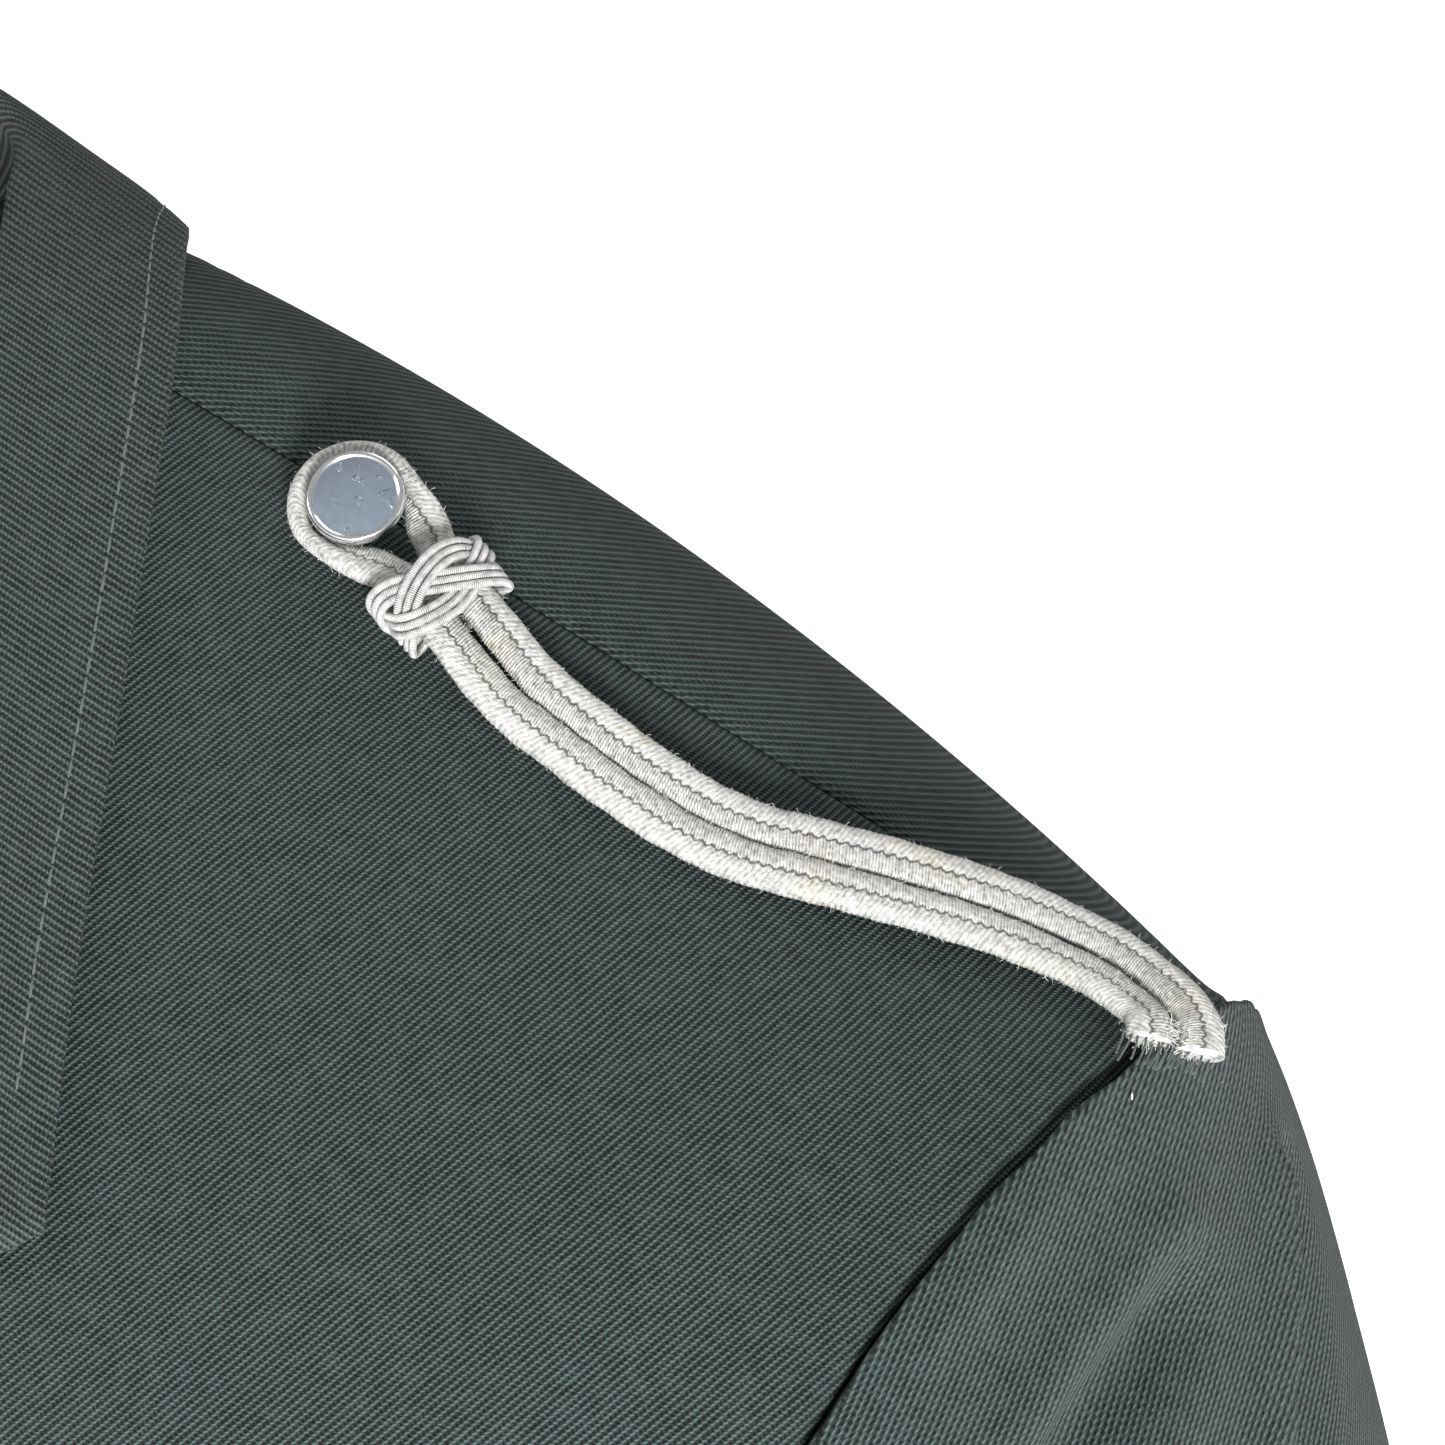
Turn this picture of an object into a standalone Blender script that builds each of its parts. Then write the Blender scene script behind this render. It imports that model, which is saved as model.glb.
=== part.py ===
"""A dress jacket in worn, hollow form, with a looped silver braid on each shoulder.

The wearer's left is +X, the front faces -Y and +Z is up. The origin lies between the
shoulders at the base of the neck. Tables are in millimetres, the finished solids in metres.
"""

import math

import bpy
import numpy as np

MM = 0.001

# Cloth walls and the space left at each seam, in millimetres
CLOTH = 1.6
COLLAR_WALL = 2.4
LAPEL_WALL = 2.2
SEAM_GAP = 0.36

# The torso is one surface that runs from the front hem over the shoulder to the back hem.
# along: millimetres along that way. half_width, the middle's y and z, the side's y and z.
# square: squareness of the level section. droop: how late the line falls towards the side.
FORM = [
    # name, along, half_width, mid_y, side_y, mid_z, side_z, square, droop
    ("front hem", 0, 206, -142, -4, -760, -760, 2.3, 1.0),
    ("front hip", 110, 203, -141, -2, -650, -650, 2.3, 1.0),
    ("front waist", 320, 180, -124, 4, -440, -440, 2.3, 1.0),
    ("front chest", 495, 200, -150, 4, -268, -268, 2.35, 1.0),
    ("front across", 600, 216, -142, -22, -165, -168, 2.3, 1.0),
    ("front upper", 680, 236, -108, -52, -80, -102, 2.2, 1.05),
    ("front top", 745, 247, -56, -30, -18, -66, 2.1, 1.12),
    ("crest", 795, 252, 0, 10, 30, -60, 2.0, 1.23),
    ("back top", 845, 247, 52, 46, 13, -85, 2.1, 1.76),
    ("back upper", 910, 238, 100, 68, -44, -110, 2.2, 1.76),
    ("back across", 1000, 220, 134, 36, -140, -165, 2.3, 1.0),
    ("back chest", 1110, 200, 142, 4, -268, -268, 2.35, 1.0),
    ("back waist", 1285, 180, 110, 4, -440, -440, 2.3, 1.0),
    ("back hip", 1495, 203, 130, -2, -650, -650, 2.3, 1.0),
    ("back hem", 1605, 206, 138, -4, -760, -760, 2.3, 1.0),
]
CREST = 795.0
CHEST_FRONT = 495.0
CHEST_BACK = 1110.0
HEM_BACK = 1605.0

# The armhole's seam, from the underarm up the front, over the shoulder and down the back.
ARMHOLE = [
    # along, share of the way from the middle to the side
    (495, 1.0),
    (496, 0.955),
    (503, 0.89),
    (522, 0.805),
    (557, 0.725),
    (600, 0.688),
    (645, 0.683),
    (685, 0.696),
    (720, 0.712),
    (750, 0.738),
    (775, 0.768),
    (795, 0.786),
    (825, 0.784),
    (865, 0.762),
    (915, 0.73),
    (970, 0.718),
    (1020, 0.745),
    (1063, 0.81),
    (1092, 0.885),
    (1107, 0.955),
    (1110, 1.0),
]

# The front's inner edge: buttoned edge, roll of the lapel, then the neck up to the crest.
FRONT_EDGE = [
    # along, distance from the middle
    (0, -20),
    (425, -20),
    (480, -5),
    (560, 16),
    (640, 37),
    (700, 52.5),
    (735, 60.5),
    (755, 63),
    (775, 64.5),
    (795, 65),
]

# The back panel's top edge inside the shoulder seam.
BACK_NECK = [
    # share, along
    (0.0, 846),
    (0.04, 845),
    (0.08, 839),
    (0.115, 829),
    (0.142, 815),
    (0.167, 795),
]

# How far the left front stands over the right one near the middle.
OVERLAP_LIFT = [(0, 2.6), (300, 2.6), (425, 6.6), (500, 6.6), (580, 3.0), (640, 0.0), (795, 0.0)]
OVERLAP_FULL = 18.0
OVERLAP_NONE = 66.0

# Broad folds of the worn cloth. Depth is outward, the spot fades over its reach.
FRONT_FOLDS = [
    # from_x, from_along, to_x, to_along, reach, height
    (150, 560, 120, 330, 16, 2.2),
    (176, 520, 158, 300, 12, -2.0),
    (60, 250, 96, 40, 20, 1.8),
    (128, 240, 150, 10, 20, 2.0),
]
BACK_FOLDS = [
    (150, 1010, 120, 1240, 18, 2.2),
    (176, 1060, 160, 1300, 12, -2.0),
    (70, 1330, 92, 1590, 22, 2.0),
    (140, 1360, 156, 1600, 20, 1.8),
]
SLEEVE_FOLDS = [
    # from_around, from_down, to_around, to_down, reach, height
    (0.06, 40, 0.25, 175, 11, 2.2),
    (0.03, 60, 0.22, 210, 10, -1.8),
    (0.30, 230, 0.16, 330, 14, 2.0),
    (0.40, 300, 0.24, 390, 12, -1.8),
    (0.62, 320, 0.78, 420, 14, 1.8),
    (0.22, 400, 0.10, 520, 14, 1.6),
    (0.92, 60, 0.80, 200, 12, 1.8),
]

# Collar: where its stand starts, its roll and its outer edge, from the back to the front.
COLLAR = [
    # neck_x, neck_along, roll_out, roll_up, edge_x, edge_along, puff
    (0, 847, -6, 22, 0, 871, 2.4),
    (19, 845, -7, 20, 26, 867, 2.4),
    (40, 834, -9, 13.5, 49, 847, 2.0),
    (55, 816, -11, 8.2, 65.5, 821, 1.5),
    (64.5, 797, -11, 6.8, 79.5, 798, 1.3),
    (64.5, 776, -8, 6.2, 91.5, 774, 1.5),
    (62.5, 756, -3, 5.8, 100.6, 753, 1.8),
    (60, 738, 2, 5.0, 107.2, 734.5, 1.5),
    (57.5, 722, 4, 4.2, 112.8, 717.5, 1.0),
]
# The collar's front end: along the gorge, then out to the tip.
COLLAR_END = [
    # distance from the middle, along
    (55, 712),
    (66, 702),
    (80, 691),
    (92, 684),
    (104, 691.5),
    (113, 697),
    (117.3, 701.5),
]

# Lapel: rows from the break to its top edge. Inner end on the roll, outer end on the edge.
LAPEL = [
    # roll_along, edge_x, edge_along
    (436, -3, 437),
    (455, 22, 450),
    (490, 45, 480),
    (530, 62, 520),
    (575, 77, 562),
    (620, 90, 604),
    (660, 99, 638),
    (690, 104.5, 660),
]
# The lapel's top edge: along the gorge, then out to the tip.
LAPEL_END = [
    (53.5, 706),
    (64, 697.5),
    (78, 686.5),
    (90, 679.5),
    (99, 672),
    (106.5, 665),
]

# Sleeve rings below the head, level sections.
SLEEVE = [
    # name, down, centre_x, centre_y, half_x, half_y
    ("upper arm", -292, 257, -8, 50, 68),
    ("above elbow", -370, 264, -4, 49, 64),
    ("elbow", -450, 271, -4, 47, 60),
    ("forearm", -530, 279, -16, 45, 56),
    ("lower arm", -610, 283, -32, 42, 52),
    ("cuff", -690, 286, -48, 40, 49),
]
CUFF_TILT = 10.0
ROPING_OUT = 1.8
ROPING_UP = 1.3

# Shoulder braid: the line between its two legs, from the button to the armhole.
BRAID = [
    # x, along, height of the legs' middle over the cloth
    (113.9, 790.2, 4.0),
    (121.2, 787.6, 4.7),
    (129.3, 785.0, 5.5),
    (137.0, 783.1, 3.7),
    (144.7, 780.8, 2.1),
    (151.5, 779.5, 1.75),
    (158.1, 778.4, 1.75),
    (166.2, 777.4, 1.75),
    (173.9, 777.0, 1.75),
    (181.2, 777.2, 1.75),
    (187.2, 778.2, 1.75),
    (200.0, 781.6, 1.75),
    (212.8, 784.5, 1.8),
    (220.7, 786.0, 1.8),
    (226.2, 786.4, 1.85),
    (230.5, 784.9, 2.7),
    (234.6, 782.0, 4.3),
    (237.2, 780.2, 5.0),
]
LEG_WIDTH = 6.3
LEG_THICK = 3.3
LEG_SPACE = 0.6
LOOP_RADIUS = 7.3
LOOP_LEAN = (-0.1, -0.26, 0.0)
BUTTON_LEAN = (-0.1, -0.44, 0.0)
KNOT_AT = 19.6
KNOT_LONG = 9.6
KNOT_HALF_WIDTH = 10.3
KNOT_HALF_HEIGHT = 5.1
KNOT_HOLE_WIDTH = 7.1
KNOT_HOLE_HEIGHT = 2.15

# Buttons
FRONT_BUTTONS = [412, 336, 260, 184]


def spline(knots, values, at):
    """A natural cubic through values at knots, read at the numbers in at."""
    t = np.asarray(knots, float)
    y = np.asarray(values, float)
    count = len(t)
    gap = np.diff(t)
    flat = y.reshape(count, -1)
    matrix = np.eye(count)
    right = np.zeros_like(flat)
    for k in range(1, count - 1):
        matrix[k, k - 1 : k + 2] = gap[k - 1], 2 * (gap[k - 1] + gap[k]), gap[k]
        right[k] = 6 * ((flat[k + 1] - flat[k]) / gap[k] - (flat[k] - flat[k - 1]) / gap[k - 1])
    bend = np.linalg.solve(matrix, right)
    where = np.clip(np.asarray(at, float), t[0], t[-1])
    n = np.clip(np.searchsorted(t, where) - 1, 0, count - 2)
    a = ((t[n + 1] - where) / gap[n])[..., None]
    b = ((where - t[n]) / gap[n])[..., None]
    square = (gap[n] ** 2)[..., None]
    out = a * flat[n] + b * flat[n + 1] + ((a**3 - a) * bend[n] + (b**3 - b) * bend[n + 1]) * square / 6
    return out.reshape(where.shape + y.shape[1:])


def column(table, k):
    """One column of a table as an array."""
    return np.array([row[k] for row in table], float)


def smooth(t):
    """A soft step from 0 to 1."""
    t = np.clip(t, 0, 1)
    return t * t * (3 - 2 * t)


def bare(p, q):
    """The surface through the stations of FORM, before its side seams are joined."""
    turn = np.abs(p) * math.pi / 2
    stations = [column(FORM, k).reshape((-1,) + (1,) * p.ndim) for k in range(2, 9)]
    wide, mid_y, side_y, mid_z, side_z, square, droop = stations
    out = np.sin(turn)[None] ** (2 / square)
    fore = 1 - np.maximum(np.cos(turn), 0)[None] ** (2 / square)
    x = wide * out * np.sign(p)
    y = mid_y + (side_y - mid_y) * fore
    z = mid_z + (side_z - mid_z) * out**droop
    lines = np.stack([x, y, z], axis=-1).reshape(len(FORM), -1, 3)
    t = column(FORM, 1)
    gap = np.diff(t)
    count = len(t)
    matrix = np.eye(count)
    right = np.zeros_like(lines)
    for k in range(1, count - 1):
        matrix[k, k - 1 : k + 2] = gap[k - 1], 2 * (gap[k - 1] + gap[k]), gap[k]
        right[k] = 6 * ((lines[k + 1] - lines[k]) / gap[k] - (lines[k] - lines[k - 1]) / gap[k - 1])
    bend = np.linalg.solve(matrix, right.reshape(count, -1)).reshape(lines.shape)
    where = np.clip(q.reshape(-1), t[0], t[-1])
    n = np.clip(np.searchsorted(t, where) - 1, 0, count - 2)
    each = np.arange(lines.shape[1])
    a = ((t[n + 1] - where) / gap[n])[:, None]
    b = ((where - t[n]) / gap[n])[:, None]
    square = (gap[n] ** 2)[:, None]
    out = a * lines[n, each] + b * lines[n + 1, each]
    out = out + ((a**3 - a) * bend[n, each] + (b**3 - b) * bend[n + 1, each]) * square / 6
    return out.reshape(p.shape + (3,))


def torso(p, q):
    """The garment's bare surface. p is the share from the middle to the side, q is along."""
    p, q = np.broadcast_arrays(np.asarray(p, float), np.asarray(q, float))
    level = np.maximum(np.maximum(CHEST_FRONT - q, q - CHEST_BACK), 0.0)
    side = np.sign(p) + (p == 0)
    front = bare(side, CHEST_FRONT - level)
    back = bare(side, CHEST_BACK + level)
    own = np.where((q < CREST)[..., None], front, back)
    share = smooth((np.abs(p) - 0.55) / 0.45) * (level > 0)
    return bare(p, q) + ((front + back) / 2 - own) * share[..., None]


def unit(v):
    """Vectors scaled to length one."""
    return v / np.maximum(np.linalg.norm(v, axis=-1, keepdims=True), 1e-12)


def torso_normal(p, q):
    """The outward normal of the bare surface."""
    step = 0.002
    across = torso(np.minimum(p + step, 1.0), q) - torso(np.minimum(p + step, 1.0) - 2 * step, q)
    along = torso(p, q + 1.0) - torso(p, q - 1.0)
    low = np.clip(q, 1.0, HEM_BACK - 1.0)
    along = np.where((low == q)[..., None], along, torso(p, low + 1.0) - torso(p, low - 1.0))
    return unit(np.cross(across, along))


def share_at(x, q):
    """The share p at which the surface is x from the middle, found by halving."""
    x, q = np.broadcast_arrays(np.asarray(x, float), np.asarray(q, float))
    low = np.zeros(x.shape)
    high = np.ones(x.shape)
    for _ in range(26):
        middle = (low + high) / 2
        inside = torso(middle, q)[..., 0] < np.abs(x)
        low = np.where(inside, middle, low)
        high = np.where(inside, high, middle)
    return (low + high) / 2 * np.sign(x)


def fold_height(table, u, v, u_size):
    """Soft ridges and troughs along short lines. u is scaled to millimetres by u_size."""
    total = np.zeros(np.broadcast(u, v).shape)
    for row in table:
        start = np.array([row[0] * u_size, row[1]])
        way = np.array([row[2] * u_size, row[3]]) - start
        point = np.stack(np.broadcast_arrays(u * u_size, v), axis=-1) - start
        t = np.clip((point @ way) / (way @ way), 0, 1)
        far = np.linalg.norm(point - t[..., None] * way, axis=-1)
        total += row[5] * np.exp(-((far / row[4]) ** 2)) * np.sin(math.pi * (0.08 + 0.84 * t))
    return total


def lift_left(x, q):
    """How far the left front is moved out so that it closes over the right one."""
    peak = np.interp(q, column(OVERLAP_LIFT, 0), column(OVERLAP_LIFT, 1))
    return peak * smooth((OVERLAP_NONE - x) / (OVERLAP_NONE - OVERLAP_FULL))


def on_front(p, q, height, left=True):
    """A point on the front panel's outer face, moved out by height."""
    p, q = np.broadcast_arrays(np.asarray(p, float), np.asarray(q, float))
    base = torso(p, q)
    normal = torso_normal(p, q)
    more = fold_height(FRONT_FOLDS, base[..., 0], q, 1.0)
    if left:
        more = more + lift_left(base[..., 0], q)
    return base + normal * (more + height)[..., None]


def on_back(p, q, height):
    """A point on the back panel's outer face, moved out by height."""
    base = torso(p, q)
    more = fold_height(BACK_FOLDS, base[..., 0], q, 1.0)
    return base + torso_normal(p, q) * (more + height)[..., None]


def armhole_line(count):
    """The armhole as evenly spaced shares and alongs, from the underarm round the front."""
    knots = np.arange(len(ARMHOLE), dtype=float)
    dense = np.linspace(0, knots[-1], 1200)
    line = spline(knots, np.array(ARMHOLE, float), dense)
    line[:, 1] = np.minimum(line[:, 1], 1.0)
    points = torso(line[:, 1], line[:, 0])
    length = np.concatenate([[0], np.cumsum(np.linalg.norm(np.diff(points, axis=0), axis=1))])
    even = np.linspace(0, length[-1], count)
    return np.stack([np.interp(even, length, line[:, k]) for k in range(2)], axis=-1)


ARMHOLE_LINE = armhole_line(1200)


def armhole_share(q):
    """The armhole's share p at q, 1 where the side seam is."""
    q = np.asarray(q, float)
    line = ARMHOLE_LINE
    share = np.interp(q, line[:, 0], line[:, 1])
    return np.where((q <= CHEST_FRONT) | (q >= CHEST_BACK), 1.0, share)


def wall(points, inner):
    """Vertices and faces of a closed wall between two grids of the same shape."""
    rows, columns = points.shape[:2]
    size = rows * columns
    faces = []

    def at(i, j, side):
        return side * size + i * columns + j

    for i in range(rows - 1):
        for j in range(columns - 1):
            faces.append((at(i, j, 0), at(i, j + 1, 0), at(i + 1, j + 1, 0), at(i + 1, j, 0)))
            faces.append((at(i, j, 1), at(i + 1, j, 1), at(i + 1, j + 1, 1), at(i, j + 1, 1)))
    for i in range(rows - 1):
        faces.append((at(i, 0, 0), at(i + 1, 0, 0), at(i + 1, 0, 1), at(i, 0, 1)))
        j = columns - 1
        faces.append((at(i, j, 0), at(i, j, 1), at(i + 1, j, 1), at(i + 1, j, 0)))
    for j in range(columns - 1):
        faces.append((at(0, j, 0), at(0, j, 1), at(0, j + 1, 1), at(0, j + 1, 0)))
        i = rows - 1
        faces.append((at(i, j, 0), at(i, j + 1, 0), at(i, j + 1, 1), at(i, j, 1)))
    return np.concatenate([points.reshape(-1, 3), inner.reshape(-1, 3)]), faces


def tube(rings):
    """Vertices and faces of a closed tube: rings of the same size, both ends filled."""
    count, around = rings.shape[:2]
    faces = []
    for i in range(count - 1):
        for j in range(around):
            k = (j + 1) % around
            faces.append((i * around + j, i * around + k, (i + 1) * around + k, (i + 1) * around + j))
    first = len(rings.reshape(-1, 3))
    ends = np.array([rings[0].mean(axis=0), rings[-1].mean(axis=0)])
    for j in range(around):
        k = (j + 1) % around
        faces.append((first, k, j))
        last = (count - 1) * around
        faces.append((first + 1, last + j, last + k))
    return np.concatenate([rings.reshape(-1, 3), ends]), faces


def ring_solid(rings):
    """Vertices and faces of a closed ring: the last section joins the first."""
    count, around = rings.shape[:2]
    faces = []
    for i in range(count):
        n = (i + 1) % count
        for j in range(around):
            k = (j + 1) % around
            faces.append((i * around + j, i * around + k, n * around + k, n * around + j))
    return rings.reshape(-1, 3), faces


def new_material(name, colour, roughness, metallic=0.0):
    """A plain material in the part's colour."""
    material = bpy.data.materials.new(name)
    material.use_nodes = True
    shader = material.node_tree.nodes["Principled BSDF"]
    shader.inputs["Base Color"].default_value = (*colour, 1.0)
    shader.inputs["Roughness"].default_value = roughness
    shader.inputs["Metallic"].default_value = metallic
    material.diffuse_color = (*colour, 1.0)
    return material


def signed_volume(points, faces):
    """Six times the volume enclosed by faces, positive when they face out."""
    total = 0.0
    for face in faces:
        a = points[face[0]]
        for k in range(1, len(face) - 1):
            total += float(np.dot(a, np.cross(points[face[k]], points[face[k + 1]])))
    return total


def make(name, solid, material, mirror=False):
    """One named object from a solid in millimetres, faces out."""
    points, faces = solid
    points = np.array(points, float)
    if mirror:
        points[:, 0] *= -1
    if signed_volume(points, faces) < 0:
        faces = [tuple(reversed(face)) for face in faces]
    mesh = bpy.data.meshes.new(name)
    mesh.from_pydata([tuple(v) for v in points * MM], [], faces)
    mesh.update()
    mesh.materials.append(material)
    part = bpy.data.objects.new(name, mesh)
    jacket.objects.link(part)
    return part


for old in list(bpy.data.objects):
    bpy.data.objects.remove(old, do_unlink=True)
jacket = bpy.data.collections.new("dress_jacket")
bpy.context.scene.collection.children.link(jacket)

cloth_material = new_material("whipcord", (0.058, 0.078, 0.074), 0.85)
collar_material = new_material("whipcord_collar", (0.052, 0.066, 0.063), 0.85)
braid_material = new_material("silver_braid", (0.62, 0.61, 0.57), 0.5, 0.3)
button_material = new_material("button_metal", (0.28, 0.33, 0.38), 0.25, 0.8)

# Front panels
ARM_FRONT = [495, 500, 514, 540, 575, 615, 655, 690, 720, 746, 768, 782, 795]
ARM_BACK = [795, 808, 824, 842, 862, 886, 915, 950, 990, 1032, 1068, 1095, 1106, 1110]
FRONT_ROWS = [0, 62, 124, 184, 222, 260, 298, 336, 374, 412, 432, 455, 478] + ARM_FRONT[:-3] + [757]
FRONT_ROWS += ARM_FRONT[-3:]
FRONT_COLUMNS = [0.0, 0.047, 0.11, 0.19, 0.28, 0.37, 0.46, 0.55, 0.64, 0.73, 0.82, 0.91, 1.0]


def front_panel(left):
    """A front panel from the hem to the shoulder seam."""
    half = SEAM_GAP / 2
    along = np.array(FRONT_ROWS, float)
    along[-1] -= half
    inner_x = np.interp(along, column(FRONT_EDGE, 0), column(FRONT_EDGE, 1))
    inner = share_at(inner_x, along)
    outer = armhole_share(along)
    s = np.array(FRONT_COLUMNS)
    p = inner[:, None] + (outer - inner)[:, None] * s
    q = np.repeat(along[:, None], len(s), axis=1)
    face = on_front(p, q, 0.0, left)
    back = on_front(p, q, -CLOTH, left)
    return trim_side(face, back, half)


def trim_side(face, back, amount):
    """Draw the last column in by amount, so that the next piece has its space."""
    way = face[:, -2] - face[:, -1]
    length = np.linalg.norm(way, axis=1, keepdims=True)
    face[:, -1] += way / length * amount
    back[:, -1] += way / length * amount
    return wall(face, back)


make("front_left", front_panel(True), cloth_material)
make("front_right", front_panel(False), cloth_material, mirror=True)

# Back panels
BACK_ROWS = ARM_BACK + [1150, 1200, 1260, 1320, 1390, 1460, 1532, 1605]
BACK_COLUMNS = [0.0, 0.06, 0.12, 0.17, 0.2125, 0.3, 0.4, 0.5, 0.6, 0.7, 0.8, 0.9, 1.0]


def back_panel():
    """A back panel from the neck and shoulder seam to the hem."""
    half = SEAM_GAP / 2
    base = np.array(BACK_ROWS, float)
    outer = armhole_share(base)
    s = np.array(BACK_COLUMNS)
    p = outer[:, None] * s
    top = np.interp(p, column(BACK_NECK, 0), column(BACK_NECK, 1))
    fade = 1 - smooth((base - CREST) / 190.0)
    q = base[:, None] + (top - CREST) * fade[:, None]
    q[0] += half
    face = on_back(p, q, 0.0)
    inner = on_back(p, q, -CLOTH)
    face[:, 0, 0] += half
    inner[:, 0, 0] += half
    return trim_side(face, inner, half)


make("back_left", back_panel(), cloth_material)
make("back_right", back_panel(), cloth_material, mirror=True)


def row_points(table, count):
    """A table's rows read at count even steps with a smooth line through them."""
    values = np.array(table, float)
    return spline(np.arange(len(values)), values, np.linspace(0, len(values) - 1, count))


def on_left_base(x, q, height):
    """A point over the bare surface on the left, named by its distance from the middle."""
    p = share_at(x, q)
    return torso(p, q) + torso_normal(p, q) * np.asarray(height, float)[..., None]


# Collar
COLLAR_STEPS = 15
COLLAR_ACROSS = [0.0, 0.5, 1.0, 1.4, 1.7, 2.0, 2.3, 2.65, 3.1, 3.55, 4.0]


def collar_half():
    """The left half of the collar's middle surface, from the back seam to the front end."""
    rows = row_points(COLLAR, COLLAR_STEPS)
    lines = []
    for neck_x, neck_q, roll_out, roll_up, edge_x, edge_q, puff in rows:
        neck_x = max(neck_x, 0.0)
        neck = on_left_base(neck_x, neck_q, np.array(-0.8))
        outward = unit(np.array([neck[0], neck[1] * 1.25, 0.0]))
        if neck_q < CREST:
            outward = unit(np.array([1.0, 0.0, 0.0]) + outward * 0.3)
        normal = torso_normal(share_at(neck_x, neck_q), np.array(neck_q))
        inset = COLLAR_WALL / 2 + SEAM_GAP + 0.6 + CLOTH * max(normal @ outward, 0.0)
        start = neck - outward * inset
        flat = smooth(1 - roll_up / 27.0)
        up = unit(np.array([0, 0, 1.0]) * (1 - flat) + normal * flat)
        edge = on_left_base(max(edge_x, 0.0), edge_q, np.array(COLLAR_WALL / 2 + 0.9))
        roll = start + outward * roll_out + up * roll_up
        stand = start + up * (0.4 * roll_up + 1.1 * flat) + outward * min(0.4 * roll_out, -0.2)
        fall = roll * 0.45 + edge * 0.55
        away = unit(np.cross(edge - roll, np.cross(outward, np.array([0, 0, 1.0]))))
        if away @ (outward + np.array([0, 0, 1.0])) < 0:
            away = -away
        fall = fall + away * puff
        line = spline(np.arange(5), np.array([start, stand, roll, fall, edge]), COLLAR_ACROSS)
        lines.append(line)
    end = np.array(COLLAR_END, float)
    knots = np.linspace(0, len(end) - 1, len(COLLAR_ACROSS) - 1)
    end = np.stack([np.interp(knots, np.arange(len(end)), end[:, k]) for k in range(2)], axis=-1)
    inner = end[0] - np.array([1.9, 0.6])
    end = np.concatenate([[inner], end])
    height = np.full(len(end), COLLAR_WALL / 2 + 0.9)
    height[0] = 0.0
    height[1] += 0.6
    height[2:6] += 0.9
    lines.append(on_left_base(end[:, 0], end[:, 1], height))
    return np.array(lines)


def grid_normals(grid):
    """Normals of a grid from its own neighbours."""
    return unit(np.cross(np.gradient(grid, axis=0), np.gradient(grid, axis=1)))


def collar():
    """The whole collar, its wall built both ways from the middle surface."""
    half = collar_half()
    mirrored = half[1:][::-1] * np.array([-1, 1, 1])
    grid = np.concatenate([mirrored, half])
    normal = grid_normals(grid)
    return wall(grid + normal * COLLAR_WALL / 2, grid - normal * COLLAR_WALL / 2)


make("collar", collar(), collar_material)

# Lapels
LAPEL_ROWS = 10
LAPEL_ACROSS = 6


def lapel(left):
    """A lapel, folded over at the roll and lying on its front panel."""
    rows = row_points(LAPEL, LAPEL_ROWS)
    lines = []
    lift = LAPEL_WALL / 2 + 0.8
    for roll_q, edge_x, edge_q in rows:
        roll_x = np.interp(roll_q, column(FRONT_EDGE, 0), column(FRONT_EDGE, 1))
        t = np.concatenate([[0.0], np.linspace(0, 1, LAPEL_ACROSS)])
        x = roll_x + (edge_x - roll_x) * t
        q = roll_q + (edge_q - roll_q) * t
        lines.append((x, q))
    end = np.array(LAPEL_END, float)
    lines.append((np.concatenate([[end[0, 0]], end[:, 0]]), np.concatenate([[end[0, 1]], end[:, 1]])))
    grid = []
    for x, q in lines:
        x = x.copy()
        x[0] -= 2.0
        x[1] -= 0.6
        height = np.full(len(x), lift)
        height[0] = 0.2
        height[1] += 0.5
        height[2:-1] += 0.5
        base = torso(share_at(x, q), q)[..., 0]
        height = height + fold_height(FRONT_FOLDS, base, q, 1.0)
        if left:
            height = height + lift_left(base, q)
        grid.append(on_left_base(x, q, height))
    grid = np.array(grid)
    normal = grid_normals(grid)
    return wall(grid + normal * LAPEL_WALL / 2, grid - normal * LAPEL_WALL / 2)


make("lapel_left", lapel(True), collar_material)
make("lapel_right", lapel(False), collar_material, mirror=True)

# Sleeves. The way round starts on the outside and goes to the front, the body and the back.
HEAD_STEPS = [0.0, 0.1, 0.22, 0.36, 0.52, 0.7, 0.86, 1.0]
ARM_ROWS = 10


def loop_at(u):
    """The armhole's point for the way round u, 0 on top of the shoulder."""
    line = ARMHOLE_LINE
    top = int(np.abs(line[:, 0] - CREST).argmin())
    place = (top / (len(line) - 1) - np.asarray(u, float) * 1.0) % 1.0
    index = place * (len(line) - 1)
    share = np.interp(index, np.arange(len(line)), line[:, 1])
    along = np.interp(index, np.arange(len(line)), line[:, 0])
    return torso(share, along)


def arm_ring(down, u):
    """A level section of the arm at the height down."""
    heights = -column(SLEEVE, 1)
    values = np.array([row[2:] for row in SLEEVE], float)
    centre_x, centre_y, half_x, half_y = spline(heights, values, np.full(1, -down))[0]
    angle = 2 * math.pi * np.asarray(u, float)
    x = centre_x + half_x * np.cos(angle)
    y = centre_y - half_y * np.sin(angle)
    return np.stack([x, y, np.full(x.shape, float(down))], axis=-1)


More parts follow.
